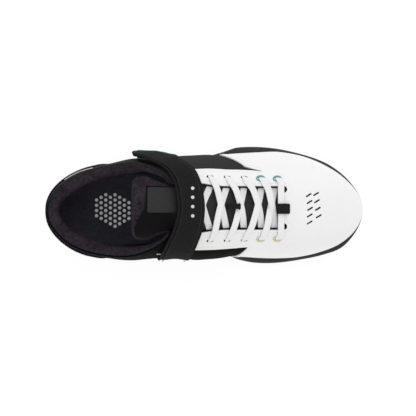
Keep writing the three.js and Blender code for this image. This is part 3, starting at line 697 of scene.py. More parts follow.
def cut_cloth(loops, pitch):
    """Points and triangles that fill closed loops, with the edge kept."""
    loops = [resample(loop, pitch * 0.55, closed=True) for loop in loops]
    rim = np.vstack(loops)
    tree = KDTree(len(rim))
    for i, (u, v) in enumerate(rim):
        tree.insert((u, v, 0), i)
    tree.balance()
    low, high = rim.min(0), rim.max(0)
    rows = np.arange(low[1], high[1], pitch * 0.866)
    net = [
        (u + (k % 2) * pitch / 2, v)
        for k, v in enumerate(rows)
        for u in np.arange(low[0], high[0], pitch)
    ]
    net = np.array(net)
    net = net[is_inside(net, loops)]
    net = np.array([p for p in net if tree.find((p[0], p[1], 0))[2] > pitch * 0.5]).reshape(-1, 2)
    edges, start = [], 0
    for loop in loops:
        n = len(loop)
        edges += [(start + i, start + (i + 1) % n) for i in range(n)]
        start += n
    spots = [Vector(p) for p in np.vstack([rim, net])]
    points, _, faces, *_ = delaunay_2d_cdt(spots, edges, [], 0, 1e-6)
    points = np.array([tuple(p) for p in points])
    faces = np.array(faces)
    centres = points[faces].mean(1)
    return points, faces[is_inside(centres, loops)]


def panel(name, loops, finish, slot, top, thick, pitch=3.0, edge=0.35, nodes=(), extra=(), inner_finish=0):
    """A panel on the last, cut from loops of (at, lift), with its top at a height over the last."""
    flat, faces = cut_cloth([to_flat(*np.transpose(loop)) for loop in loops], pitch)
    points = on_last(*from_flat(flat), top)
    piece = add_piece(name, points, faces, finish, slot, nodes, extra=extra)
    thicken(weld(piece), thick, edge, inner_finish)
    print(name, "faces", len(piece.data.polygons))
    return piece


# %% Sheets of rings, for what is drawn as sections
def ring_faces(rings, count, closed_rings, closed_ends=False):
    faces = []
    for i in range(rings if closed_ends else rings - 1):
        for j in range(count if closed_rings else count - 1):
            a, b = i * count + j, i * count + (j + 1) % count
            c, d = ((i + 1) % rings) * count + (j + 1) % count, ((i + 1) % rings) * count + j
            faces.append((a, b, c, d))
    return faces


def tube(name, rings, finish, slot, nodes=(), caps=True, smooth=True, extra=()):
    """A closed body through rings of points."""
    rings = np.asarray(rings, float)
    count, around = rings.shape[:2]
    faces = ring_faces(count, around, True)
    if caps:
        faces += [tuple(range(around))[::-1], tuple(range((count - 1) * around, count * around))]
    piece = add_piece(name, rings.reshape(-1, 3), faces, finish, slot, nodes, smooth, extra)
    return face_out(piece)


def spline(knots, count, closed=False):
    """A smooth line through knots of any number of columns."""
    knots = np.asarray(knots, float)
    n = len(knots)
    t = np.linspace(0, n if closed else n - 1, count, endpoint=not closed)
    i = np.clip(np.floor(t).astype(int), 0, n - 1 if closed else n - 2)
    f = (t - i)[:, None]

    def pick(k):
        return knots[k % n] if closed else knots[np.clip(k, 0, n - 1)]

    a, b, c, d = pick(i - 1), pick(i), pick(i + 1), pick(i + 2)
    return 0.5 * (2 * b + (c - a) * f + (2 * a - 5 * b + 4 * c - d) * f**2 + (3 * b - a - 3 * c + d) * f**3)


print("cutting tools ready")

# %% [markdown]
# ## The sole
#
# The outsole is a moulded rubber slab with a block tread: long blocks along both edges that bite
# on soft ground, and hexagons between them, with the arch left plain for the pedal. Each block
# tapers towards the ground, because a straight one would not leave its mould, and has a shallow
# dish in its face.

# %% The outsole's slab and tread blocks
def sections(name, chain, finish, slot, nodes=(), count=96, extra=()):
    """A body whose cross sections run up the outer side and down the inner one."""
    shares = (1 - np.cos(np.pi * np.arange(count + 1) / count)) / 2
    rings = [np.vstack([chain(at, 1), chain(at, -1)[::-1]]) for at in shares]
    piece = tube(name, rings, finish, slot, nodes, caps=False, extra=extra)
    return face_out(weld(piece))


tread_depth = 3.0
outsole_thick = 4.0
lug_across = 14.0
lug_pitch = 20.0
edge_length = 11.0
edge_width = 7.0
edge_count = 13
edge_inset = edge_width / 2 + 2
lug_clear = 3.0
corner_cut = 1.2

# Across and up for each level of a block, from inside the slab down to the dish in its face
block_levels = [
    (1.16, 4.4),
    (1.1, 2.9),
    (1.03, 0.9),
    (0.98, 0.25),
    (0.92, 0.0),
    (0.66, 0.0),
    (0.56, 0.7),
    (0.1, 0.8),
]

# How far the slab's edge stands out, and how high up the slab
slab_steps = [
    (-6, 0.0),
    (-2.6, 0.0),
    (-1.5, 0.1),
    (-0.8, 0.3),
    (-0.3, 0.6),
    (0, 0.94),
    (-0.4, 1),
    (-6, 1),
]


def slab_chain(at, side):
    made = []
    for grow, up in slab_steps:
        x, half = sole_edge(at, side, grow)
        half = max(half, 0.0)
        made.append((x, spine_at(at) + side * half, tread_z(x) + tread_depth + up * outsole_thick))
    return np.array(made)


outsole = sections("outsole_rubber", slab_chain, sole_rubber, "outsole_rubber", ["outsole"])


def block_body(shape, x, y, turn):
    """One tread block: drafted sides, a worn edge and a dished face."""
    c, s = np.cos(turn), np.sin(turn)
    flat = np.array(shape) @ np.array([[c, s], [-s, c]])
    base = tread_z(x)
    return [[(x + scale * u, y + scale * v, base + up) for u, v in flat] for scale, up in block_levels]


def rounded(shape, cut):
    """A polygon with its corners cut."""
    made = []
    for before, here, after in zip(np.roll(shape, 1, 0), shape, np.roll(shape, -1, 0)):
        for other in (before, after):
            made.append(here + (other - here) * min(0.45, cut / np.linalg.norm(other - here)))
    return np.array(made)


turns = np.arange(6) * np.pi / 3
hexagon = rounded(np.column_stack([np.cos(turns), np.sin(turns)]) * lug_across / 3**0.5, corner_cut)
bar = rounded(np.array([(-1, -1), (1, -1), (1, 1), (-1, 1)]) * (edge_length / 2, edge_width / 2), corner_cut)
blocks = []
for side in (1, -1):
    for at in np.linspace(0.075, 0.925, edge_count):
        if 0.36 < at < 0.5:
            continue
        (x0, h0), (x1, h1) = sole_edge(at, side, -edge_inset), sole_edge(at + 0.01, side, -edge_inset)
        y0, y1 = spine_at(at) + side * h0, spine_at(at + 0.01) + side * h1
        blocks.append(block_body(bar, x0, y0, np.arctan2(y1 - y0, x1 - x0)))
keep_in = edge_width + lug_across / 2 + lug_clear
row_pitch = lug_pitch * 3**0.5 / 2
for i in range(int(sole_length / row_pitch)):
    x = (i + 0.6) * row_pitch
    at = x / sole_length
    if 0.35 < at < 0.51:
        continue
    room = [spine_at(at) + side * sole_edge(at, side, -keep_in)[1] for side in (-1, 1)]
    for j in range(-3, 4):
        y = (j + (i % 2) / 2) * lug_pitch
        if keep_in < x < sole_length - keep_in and room[0] < y < room[1]:
            blocks.append(block_body(hexagon, x, y, 0))


def join_bodies(name, bodies, finish, slot, nodes=(), smooth=True, extra=()):
    """One mesh of many closed bodies, each given as rings."""
    points, faces = [], []
    for rings in bodies:
        rings = np.asarray(rings, float)
        count, around = rings.shape[:2]
        start = len(points)
        points += rings.reshape(-1, 3).tolist()
        faces += [tuple(start + k for k in f) for f in ring_faces(count, around, True)]
        faces += [tuple(start + k for k in range(around))[::-1]]
        faces += [tuple(start + (count - 1) * around + k for k in range(around))]
    return face_out(add_piece(name, points, faces, finish, slot, nodes, smooth, extra))


tread = join_bodies("tread_blocks", blocks, sole_rubber, "outsole_rubber", smooth=False)
print("tread blocks:", len(blocks))

# %% [markdown]
# The midsole is a shallow foam tray. Its wall rises over the lower edge of the upper and carries
# one groove all round, which hides the line where the two halves of the mould meet.

# %% The midsole
side_knots = [
    (-1.6, 0.0),
    (-0.5, 0.03),
    (-0.1, 0.1),
    (0.1, 0.24),
    (0, 0.38),
    (-0.5, 0.425),
    (-1.4, 0.45),
    (-1.4, 0.53),
    (-0.6, 0.57),
    (-0.2, 0.62),
    (-0.35, 0.78),
    (-0.8, 0.92),
    (-1.3, 0.985),
    (-1.9, 1.0),
]


def tray_chain(at, side):
    made = [(*sole_edge(at, side, -7), 0.0)] + [(*sole_edge(at, side, g), u) for g, u in side_knots]
    made = [
        (x, spine_at(at) + side * max(h, 0.0), mix(tread_z(x) + tread_depth + outsole_thick, rim_z(x), u))
        for x, h, u in made
    ]
    for inward, drop in ((0.0, 0.15), (-0.2, 1.2), (-0.2, 8.0)):
        x, h = foot_edge(at, side, gap + inward)
        made.append((x, spine_at(at) + side * h, rim_z(x) - drop))
    return np.array(made)


midsole = sections("midsole_foam", tray_chain, foam_rubber, "midsole_foam", ["midsole"], 110)
print("midsole faces:", len(midsole.data.polygons))

# %% [markdown]
# ## The upper
#
# The main shell is one closely woven textile from the rim of the sole to the collar and the
# throat. Its pattern is a wide horseshoe. The collar edge is found first: for every place along
# the shoe, the lift where the skin meets the ruled cut of the collar.

# %% The collar edge and the throat
def collar_lift(at, side):
    at = np.asarray(at, float)
    x, y = mix(heel_inset, sole_length - toe_inset, at), side * 30.0
    for _ in range(5):
        lift = lift_at_height(at, side, collar_z(x / sole_length, y))
        x, y = on_last(at, lift)[..., 0], on_last(at, lift)[..., 1]
    return lift


throat_front = 221.0
throat_half = 19.0
notch = 2.2


def throat_half_at(x, clear=0.0):
    """Half the throat's width, which opens a little under the strap."""
    return throat_half + clear + 3 * ease((168 - x) / 30)


def throat_line(back_outer, back_inner, clear=0.0):
    """The throat's edge in plan, from the outer side round the two front corners to the inner."""
    front = throat_front + clear
    r = notch + clear
    corner = throat_half - notch
    turn = np.radians(np.linspace(90, -90, 9))
    outer = [(x, throat_half_at(x, clear)) for x in np.linspace(back_outer, front, 26)[:-1]]
    outer += [(front + r * np.cos(t), corner + r * np.sin(t)) for t in turn]
    inner = [(front + r * np.cos(t), -corner + r * np.sin(t)) for t in turn]
    inner += [(x, -throat_half_at(x, clear)) for x in np.linspace(front, back_inner, 26)[1:]]
    return outer + inner


def from_plan(line):
    """Plan points as (at, lift)."""
    line = np.array(line, float)
    return np.stack(last_from_plan(line[:, 0], line[:, 1]), -1)


def collar_meets_throat(side):
    for at in np.linspace(0.3, 0.46, 321):
        spot = on_last(at, collar_lift(at, side))
        if side * spot[1] < throat_half_at(spot[0]):
            return at
    return 0.46


meet = {side: collar_meets_throat(side) for side in (1, -1)}
print("the collar meets the throat at", {side: round(at * sole_length, 1) for side, at in meet.items()})


def slot_hole(x, y, length, wide, turn=0.0):
    """A slot with round ends, in plan."""
    angle = np.radians(turn)
    along, across = np.array([np.cos(angle), np.sin(angle)]), np.array([-np.sin(angle), np.cos(angle)])
    arc = np.radians(np.linspace(-90, 90, 5))
    reach = (length - wide) / 2
    made = [along * (reach + wide / 2 * np.cos(t)) + across * wide / 2 * np.sin(t) for t in arc]
    made += [-along * (reach + wide / 2 * np.cos(t)) - across * wide / 2 * np.sin(t) for t in arc]
    return from_plan(np.array([x, y]) + made)


eyelet_pairs = 6
eyelet_pitch = 15.6
eyelet_length = 6.5
eyelet_wide = 2.4
eyelet_front = 216.5
eyelet_out = 27.9


def eyelet(i, side):
    return np.array([eyelet_front - eyelet_pitch * i, side * (eyelet_out + 0.2 * i) - 0.7])


eyelet_spots = [eyelet(i, side) for i in range(eyelet_pairs) for side in (1, -1)]
holes = [slot_hole(x, y, eyelet_length, eyelet_wide) for x, y in eyelet_spots]

# %% The textile shell
rim_lift = 1.5


def collar_line(side, top=0.0):
    at = meet[side] * (np.linspace(0, 1, 70) ** 1.4)
    return np.stack([at, collar_lift(at, side)], -1)


x_meet = {side: mix(heel_inset, sole_length - toe_inset, at) for side, at in meet.items()}
shell_loop = np.vstack(
    [
        collar_line(1),
        from_plan(throat_line(x_meet[1], x_meet[-1]))[1:-1],
        collar_line(-1)[::-1],
        [(0, -rim_lift), (1, -rim_lift), (1, rim_lift), (0, rim_lift)],
    ]
)
panel(
    "upper_shell",
    [shell_loop, *holes],
    side_weave_and_shade,
    "side_textile",
    0.0,
    2.2,
    nodes=["upper"],
    extra=[lining_knit_lit],
    inner_finish=1,
)

# %% [markdown]
# Over the shell lies the light skin: the vamp over the toe and, in one piece with it, the two
# eyestays that carry the laces. Small slots behind the toe let air in, cut at a slant so that the
# skin does not tear along them. The skin is cut and laid like the shell, a millimetre and a half
# higher.

# %% The light skin
vent_spots = [(244.7, 11.6), (245.4, 5.4), (245.8, -0.7), (245.5, -6.8), (245.5, -13.1)]
vent_spots += [(251.4, 12.6), (252.2, 6.1), (253.0, -0.7), (253.8, -7.5)]
vent_length = 6.2
vent_wide = 1.5
vent_turn = 31
vents = [slot_hole(x, y, vent_length, vent_wide, vent_turn) for x, y in vent_spots]

stay_back = 128.0
outer_wing = [
    (stay_back, 34.4),
    (143, 34.6),
    (164.5, 34.7),
    (180, 34.3),
    (192.9, 33.8),
    (200, 33.0),
    (203, 32.6),
    (201, 33.6),
    (194.4, 35.3),
    (186.3, 37.6),
    (179.1, 42.6),
    (170.2, 46.7),
    (165.4, 48.4),
]
inner_wing = [
    (177.2, -45.8),
    (179.3, -44.1),
    (185.8, -39.1),
    (189.2, -35.5),
    (187.6, -35.3),
    (178, -36.1),
    (164.5, -36.9),
    (140, -37.4),
    (stay_back, -37.6),
]
skin_rim = 1.46
skin_top = 1.5
skin_loop = np.vstack(
    [
        from_plan(outer_wing),
        [(0.551, 1.0), (0.549, 1.2), (0.548, skin_rim), (1, skin_rim), (1, -skin_rim)],
        [(0.585, -skin_rim), (0.587, -1.2), (0.592, -1.0)],
        from_plan(inner_wing),
        from_plan(throat_line(stay_back, stay_back, 0.8))[::-1],
    ]
)
panel(
    "light_skin_vamp",
    [skin_loop, *holes, *vents],
    light_skin,
    "light_skin",
    skin_top,
    1.3,
    nodes=["vamp_overlay"],
)

# %% [markdown]
# The toe gets a cream bumper where it meets stones, and the heel a stiff dark counter. Both are
# laid over the layers beneath. Each has two halves, one for each side, which meet on the middle
# line of the shoe and are welded there.

# %% Toe bumper and heel counter
def flank_lift(at, side, z):
    return lift_at_height(np.asarray(at, float), side, np.asarray(z, float))


def flank_loops(ats, heights):
    """Two halves of a piece round the heel or the toe, under a line of heights."""
    loops = []
    for side in (1, -1):
        edge = np.stack([ats, flank_lift(ats, side, heights)], -1)
        loops.append(np.vstack([edge, [(ats[-1], side * skin_rim), (ats[0], side * skin_rim)]]))
    return loops


bumper_ats = np.array([1, 0.997, 0.985, 0.965, 0.945, 0.925, 0.905])
bumper_heights = np.array([46.5, 46.2, 45, 42.5, 39.5, 36.5, 33.5])
panel(
    "toe_bumper_skin",
    flank_loops(bumper_ats, bumper_heights),
    cream_skin,
    "bumper_skin",
    1.65,
    1.0,
    2.6,
    0.2,
    ["toe_bumper"],
)
counter_xs = np.array([0, 8, 17.5, 28, 38.5, 49, 60, 66, 70])
counter_heights = np.array([60, 59.8, 58.6, 56, 52, 46.5, 39, 34.2, 30.5])
counter_ats = counter_xs / (sole_length - toe_inset - heel_inset)
panel(
    "heel_counter_skin",
    flank_loops(counter_ats, counter_heights),
    dark_skin,
    "counter_skin",
    1.5,
    1.3,
    nodes=["heel_counter"],
)

# %% [markdown]
# ## Stitches
#
# A stitch is a short run of thread pulled into the skin at both ends. A row of them is laid a
# little inside an edge. Each is a small spindle in the mesh, because at this scale a drawn line
# would look printed.

# %% Stitch rows
def along_line(points, pitch, start=0.5):
    """Even places on a line and its direction there."""
    steps = np.linalg.norm(np.diff(points, axis=0), axis=1)
    far = np.concatenate([[0], np.cumsum(steps)])
    spots = np.arange(start * pitch, far[-1] - 0.3 * pitch, pitch)
    made = np.stack([np.interp(spots, far, points[:, k]) for k in range(3)], -1)
    ahead = np.stack([np.interp(np.minimum(spots + 0.4, far[-1]), far, points[:, k]) for k in range(3)], -1)
    back = np.stack([np.interp(np.maximum(spots - 0.4, 0), far, points[:, k]) for k in range(3)], -1)
    ways = ahead - back
    return made, ways / np.maximum(np.linalg.norm(ways, axis=1, keepdims=True), 1e-9)


# Along, fullness and height of each ring of a stitch
spindle = [(-0.5, 0.35, -0.22), (-0.3, 0.9, 0.02), (0, 1, 0.08), (0.3, 0.9, 0.02), (0.5, 0.35, -0.22)]


def stitch_bodies(points, ups, pitch=2.5, length=1.8, wide=0.5, high=0.42):
    """Spindles along a line of points, whose skin faces ups."""
    spots, ways = along_line(points, pitch)
    near = [int(np.argmin(np.linalg.norm(points - spot, axis=1))) for spot in spots]
    made = []
    around = np.arange(6) * np.pi / 3
    for spot, way, k in zip(spots, ways, near):
        up = ups[k] / np.linalg.norm(ups[k])
        across = np.cross(up, way)
        rings = []
        for share, full, sink in spindle:
            centre = spot + way * length * share + up * sink
            u, v = full * across * wide / 2, full * up * high / 2
            rings.append([centre + u * np.cos(t) + v * np.sin(t) for t in around])
        made.append(rings)
    return made


def last_line(spots, top, pitch=1.2):
    """A line on the last and its outward directions, from (at, lift) spots."""
    flat = resample(to_flat(*np.transpose(spots)), pitch)
    at, lift = from_flat(flat)
    return on_last(at, lift, top), on_last(at, lift, top + 1) - on_last(at, lift, top)


def move_plan(line, inward):
    """A plan line moved sideways, to the left of its direction."""
    line = np.array(line, float)
    way = np.gradient(line, axis=0)
    way /= np.linalg.norm(way, axis=1, keepdims=True)
    return line + np.stack([-way[:, 1], way[:, 0]], -1) * inward


light_rows = stitch_bodies(*last_line(from_plan(throat_line(150, 150, 3.0)), skin_top))
for edge in (outer_wing[:6], outer_wing[7:], inner_wing[:4], inner_wing[5:]):
    light_rows += stitch_bodies(*last_line(from_plan(move_plan(edge, -2.0)), skin_top))
join_bodies("light_stitches", light_rows, light_thread, "light_skin")
dark_rows = []
for side in (1, -1):
    edge = np.stack([counter_ats, flank_lift(counter_ats, side, counter_heights - 2.4)], -1)
    dark_rows += stitch_bodies(*last_line(edge, skin_top))
join_bodies("dark_stitches", dark_rows, dark_thread, "counter_skin")
print("stitches:", len(light_rows) + len(dark_rows))

# %% [markdown]
# ## Soft parts
#
# The collar is a roll of foam in a knit cover, turned over the top edge of the shell. A simulated
# pad this thin would lose its shape in the remesh, so it is drawn as rings through a smooth
# profile, and swells a little between the places where the cover is held.

# %% The collar roll
collar_front = 0.392
pad_thick = 8.8
pad_cover = 2.9

# The roll's profile: how far under the edge, and how far inward as a share of its thickness
pad_knots = [
    (22, 0.0),
    (15, 0.0),
    (8, 0.0),
    (3, -0.02),
    (0.4, -0.14),
    (-1.7, -0.16),
    (-3.0, 0.1),
    (-3.2, 0.42),
    (-2.2, 0.75),
    (2, 0.98),
    (8, 1.04),
    (14, 0.8),
    (20, 0.45),
]


def side_spot(at, side, z, grow):
    spot = on_last(at, lift_at_height(at, side, z), grow)
    spot[..., 2] = z
    return spot


def collar_ring(at, side, turn):
    """One ring of the roll; turn is how far round the collar it lies, for its soft swelling."""
    lift = float(collar_lift(at, side))
    top = on_last(at, lift)[2]
    taper = 0.42 + 0.58 * ease((collar_front - at) / 0.13)
    swell = 1 + 0.02 * np.sin(turn / 9.0) + 0.012 * np.sin(turn / 4.1 + 1)
    thick = pad_thick * taper * swell
    deep = 0.55 + 0.45 * ease((collar_front - at) / 0.1)
    knots = []
    for down, inward in pad_knots:
        z = top - down * (deep if down > 0 else 1)
        knots.append(side_spot(at, side, z, -pad_cover - inward * thick))
    return spline(knots, 40, closed=True)


shares = collar_front * (np.linspace(1, 0, 70) ** 1.5)
collar_rings = [collar_ring(at, 1, at * sole_length) for at in shares]
collar_rings += [collar_ring(at, -1, -at * sole_length) for at in shares[-2::-1]]
collar = tube("collar_roll", collar_rings, collar_knit, "collar_cloth", ["collar_pad"])
print("collar rings:", len(collar_rings))

# %% [markdown]
# The tongue is a long pad under the laces. Its cover is the collar's knit at the back, where it
# touches the ankle, and a dark weave in front of a seam that runs across at a slant.

# %% The tongue's pad
tongue_half = smooth_column(
    np.array([0, 0.03, 0.08, 0.15, 0.24, 0.35, 0.5, 1.0]),
    np.array([25.1, 28.3, 28.7, 24.7, 21.5, 21.7, 23.6, 23.2]),
)
tongue_back = 84.0
tongue_front = 228.0
tongue_under = -2.9


def tongue_spot(share, across, depth):
    """A place in the tongue: across runs from -1 to 1, depth is under the last's surface."""
    x = mix(tongue_back, tongue_front, share)
    y = across * tongue_half(share)
    return np.array([x, y, dome_z(x, y, tongue_under) + (depth - tongue_under)])


def tongue_ring(share):
    thin = mix(1, 0.45, ease((share - 0.75) / 0.25))
    end = np.sqrt(np.clip(1 - (1 - np.clip(share / 0.035, 0, 1)) ** 2, 0.02, 1))
    spots = []
    for t in np.linspace(0, 2 * np.pi, 48, endpoint=False):
        across = np.sign(np.cos(t)) * abs(np.cos(t)) ** 0.35 * (0.93 + 0.07 * end)
        thick = 7 * thin * (1 - 0.45 * abs(across) ** 3)
        up = np.sign(np.sin(t)) * abs(np.sin(t)) ** 0.8 * end
        middle = tongue_under - 3.5 * thin
        depth = middle + up * thick / 2 if up < 0 else middle + up * (tongue_under - middle)
        spots.append(tongue_spot(share, across, depth))
    return spots


tongue_shares = (1 - np.cos(np.pi * np.arange(91) / 90)) / 2
tongue_rings = [tongue_ring(share) for share in tongue_shares]
tongue_pad = tube("tongue_pad", tongue_rings, collar_knit, "tongue_cloth", ["tongue"])


def plan_panel(name, loops, height, finish, slot, thick, pitch=2.5, edge=0.3):
    """A panel cut in plan and laid at a height given for every spot."""
    flat, faces = cut_cloth(loops, pitch)
    points = np.column_stack([flat, height(flat[:, 0], flat[:, 1])])
    return thicken(weld(add_piece(name, points, faces, finish, slot)), thick, edge)


def tongue_top(x, y, over):
    """Height of the tongue's face, which falls away towards its edges."""
    share = (x - tongue_back) / (tongue_front - tongue_back)
    out = np.abs(y) / tongue_half(share)
    fall = 3.2 * (1 - np.sqrt(1 - np.clip((out - 0.62) / 0.42, 0, 1) ** 2))
    return dome_z(x, y, tongue_under) + over - fall


def tongue_side(side, shares, out=0.93):
    return [(mix(tongue_back, tongue_front, s), side * out * tongue_half(s)) for s in shares]


face_loop = [(97.0, 20.0), (110.0, 19.6), (118.0, 19.2)] + tongue_side(1, np.linspace(0.32, 0.99, 24))
face_loop += tongue_side(-1, np.linspace(0.99, 0.025, 34))
face_loop += [(86.2, -19.0), (87.6, -15.6), (92.2, -7.6), (96.2, -0.5), (97.0, 6.0)]
plan_panel(
    "tongue_face",
    [np.array(face_loop)],
    lambda x, y: tongue_top(x, y, 0.75),
    tongue_weave_and_shade,
    "tongue_cloth",
    0.7,
)

# %% The bare label patch on the tongue
def rounded_box(x0, x1, y0, y1, r=2.0):
    made = []
    corners = [(x1 - r, y1 - r), (x0 + r, y1 - r), (x0 + r, y0 + r), (x1 - r, y0 + r)]
    for quarter, (x, y) in enumerate(corners):
        for turn in (np.linspace(0, 1, 5) + quarter) * np.pi / 2:
            made.append((x + r * np.cos(turn), y + r * np.sin(turn)))
    return np.array(made)


plan_panel(
    "tongue_patch",
    [rounded_box(98.4, 125.0, -4.2, 18.7, 1.2)],
    lambda x, y: tongue_top(x, y, 1.25),
    label_cloth,
    "tongue_cloth",
    0.5,
    2.2,
    0.2,
)
print("tongue and patch laid")

# %% [markdown]
# The insole lies in the tray: a thin foam sheet with a dark cloth face and a raised edge at the
# heel. Its heel carries a plain grip of small light hexagons.

# %% The insole
def insole_chain(at, side):
    cup = 5 * (1 - ease((at - 0.25) / 0.3))
    steps = [(-1, 0), (-0.2, 1.5), (0, 4 + cup), (-0.7, 4.6 + cup), (-2.6, 4.2 + cup), (-6.5, 4 + cup * 0.6)]
    steps += [(-10, 4 + cup * 0.18), (-13, 4), (-22, 4)]
    made = []
    for grow, up in steps:
        x, h = foot_edge(at, side, -2.5 + grow)
        made.append((x, spine_at(at) + side * h, footbed_z(x) + gap + up))
    return np.array(made)


insole = sections("insole_sheet", insole_chain, insole_cloth, "insole_cloth", ["insole"], 80)


def dot_body(x, y, z, radius, high):
    """A low hexagonal dot."""
    rings = []
    for share, up in ((1, -0.3), (1, high * 0.7), (0.85, high), (0.1, high)):
        reach = share * radius
        rings.append([(x + reach * np.cos(t), y + reach * np.sin(t), z + up) for t in turns])
    return rings


dot_radius = 1.75
grip = []
for i in range(8):
    for j in range(-3, 4):
        x, y = 46.5 + i * 4.4, (j + (i % 2) / 2) * 5.0 - 2.4
        if ((x - 62) / 19) ** 2 + ((y + 1.5) / 16) ** 2 < 1:
            grip.append(dot_body(x, y, footbed_z(x) + gap + 4, dot_radius, 0.25))
join_bodies("insole_grip", grip, white_print, "insole_cloth")
print("insole dots:", len(grip))

# %% [markdown]
# ## The strap
#
# The strap starts at the inner rim of the sole, crosses over the lacing and ends on the outer
# side, where hook tape under its tail holds it on a pad of loop pile. It is one thick synthetic
# band with a line pressed in along its rear edge, a row of stitches near each edge and a thin
# piping round its tail. Each row of the table gives at, lift and the share of the rise over the
# laces for the rear edge, and then the same three for the front edge.

# %% Bands along two edge rows
strap_rows = np.array(
    [
        (0.35, -1.14, 0.15, 0.447, -1.14, 0.15),
        (0.353, -0.95, 0.15, 0.45, -0.92, 0.15),
        (0.364, -0.7, 0.5, 0.4595, -0.65, 0.5),
        (0.3855, -0.45, 0.95, 0.479, -0.42, 0.95),
        (0.411, -0.22, 1, 0.4965, -0.21, 1),
        (0.4235, 0, 1, 0.5025, 0, 1),
        (0.416, 0.22, 1, 0.4965, 0.19, 1),
        (0.393, 0.42, 1, 0.4755, 0.42, 0.85),
        (0.363, 0.56, 0.95, 0.4345, 0.62, 0.5),
        (0.334, 0.645, 1, 0.405, 0.83, 0.35),
        (0.308, 0.7, 1.1, 0.355, 0.95, 1.05),
        (0.282, 0.735, 1, 0.288, 0.98, 1),
    ]
)
base_rows = np.array(
    [
        (0.338, 0.7, 1, 0.352, 0.9, 1),
        (0.322, 0.72, 1, 0.338, 0.93, 1),
        (0.306, 0.74, 1, 0.318, 0.95, 1),
        (0.292, 0.76, 1, 0.297, 0.95, 1),
    ]
)


def band_reader(rows):
    keys = np.linspace(0, 1, len(rows))
    read = [smooth_column(keys, rows[:, k]) for k in range(6)]

    def place(step, across, over, off):
        """A place over the band's track: across runs from its rear edge to its front edge."""
        at = mix(read[0](step), read[3](step), across)
        lift = mix(read[1](step), read[4](step), across)
        share = mix(read[2](step), read[5](step), across)
        return on_last(at, lift, off * share + over)

    return place


edge_round = 0.6
groove_depth = 1.4
bead_height = 0.5


def band_body(name, place, off, thick, finish, slot, nodes, groove=0.0, count=150, tail=0.0, root=1.0):
    """A band with round edges. groove is where a line is pressed in, tail how much of its length
    is rounded off and root how thick it starts, all as shares."""
    near_edges = np.array([0.006, 0.02, 0.98, 0.994])
    near_groove = groove + np.linspace(-0.024, 0.024, 5) if groove else near_edges
    fine = np.unique(np.round(np.concatenate([np.linspace(0, 1, 25), near_groove, near_edges]), 4))
    rings = []
    for step in np.linspace(0, 1, count):
        near_end = np.clip((1 - step) / tail, 0, 1) if tail else 1.0
        narrow = 0.35 + 0.65 * np.sqrt(1 - (1 - near_end) ** 2)
        full = thick * mix(root, 1, ease((step - 0.05) / 0.15))
        top, low = [], []
        for across in fine:
            edge = min(across, 1 - across) / 0.045
            round_off = edge_round * (1 - np.sqrt(1 - (1 - min(edge, 1)) ** 2))
            press = groove_depth * np.exp(-(((across - groove) / 0.02) ** 2)) if groove else 0
            if across < groove:
                press -= bead_height * np.sin(np.pi * across / groove)
            where = 0.5 + (across - 0.5) * narrow
            top.append(place(step, where, full - round_off - press * full / thick, off))
            low.append(place(step, where, round_off * 0.7, off))
        rings.append(top + low[::-1])
    return tube(name, rings, finish, slot, nodes)


over_laces = 4.9
strap_thick = 2.4
strap_place = band_reader(strap_rows)
band_body(
    "strap_band",
    strap_place,
    over_laces,
    strap_thick,
    strap_weave,
    "strap_cloth",
    ["strap"],
    groove=0.1,
    tail=0.035,
    root=0.25,
)
base_place = band_reader(base_rows)
for name, over, thick, finish, slot, node in (
    ("strap_loop_pad", 0.7, 1.5, collar_knit, "strap_base_cloth", "strap_base"),
    ("strap_hook_tape", 2.5, 0.9, tape_weave, "hook_tape", "hook_tape"),
):
    band_body(name, base_place, over, thick, finish, slot, [node], count=60, tail=0.08)

# %% Stitches and plain reflective dots on the strap
strap_stitches = []
steps = np.linspace(0.01, 0.975, 260)
for across in (0.17, 0.87):
    points = np.array([strap_place(s, across, strap_thick - 0.05, over_laces) for s in steps])
    above = np.array([strap_place(s, across, strap_thick + 0.95, over_laces) for s in steps])
    strap_stitches += stitch_bodies(points, above - points, 2.3)
join_bodies("strap_stitches", strap_stitches, dark_thread, "strap_cloth")


piping_radius = 0.55
disc_radius = 1.55


def slopes(x, y, over=0.0):
    """How the upper rises along x and y, over a spot of the plan."""
    along = dome_z(x + 1, y, over) - dome_z(x - 1, y, over)
    across = dome_z(x, y + 1, over) - dome_z(x, y - 1, over)
    return along / 2, across / 2


def disc_on_strap(x, y):
    """A small flat disc on the strap over a spot of the plan."""
    strap_top = over_laces + strap_thick
    base = dome_z(x, y, strap_top)
    slope_x, slope_y = slopes(x, y, strap_top)
    rings = []
    for share, up in ((1, -0.5), (1, 0.12), (0.86, 0.26), (0.1, 0.28)):
        turn = np.arange(16) * np.pi / 8
        u, v = share * disc_radius * np.cos(turn), share * disc_radius * np.sin(turn)
        rings.append(np.column_stack([x + u, y + v, base + slope_x * u + slope_y * v + up]))
    return rings


tail_piping = [strap_place(s, 0.86, 2.5, over_laces) for s in np.linspace(0.8, 0.965, 40)]
tail_piping += [strap_place(0.978, a, 2.45, over_laces) for a in np.linspace(0.82, 0.2, 24)]
turn = np.arange(8) * np.pi / 4
small_ring = np.column_stack([0 * turn, np.cos(turn), np.sin(turn)]) * piping_radius
piping = [small_ring + spot for spot in resample(tail_piping, 0.9)]
join_bodies("strap_tail_piping", [piping], tape_weave, "hook_tape")
dots = [disc_on_strap(138.6, y) for y in (17.8, 9.6, 1.3, -7.1)]
join_bodies("strap_dots", dots, reflective, "strap_cloth")
print("strap stitches:", len(strap_stitches))

# %% [markdown]
# ## Lacing
#
# Two ends of one flat lace start from the bar in front. Each goes down through an eyelet, comes
# out from under the eyestay further back, and crosses to the next eyelet on the other side. A
# ribbon is swept along that path. Where two runs cross, one is lifted and the other pressed down
# by half the lace's thickness, and the lace folds down into each long hole.

# %% Sweeping a flat ribbon
lace_thick = 1.25


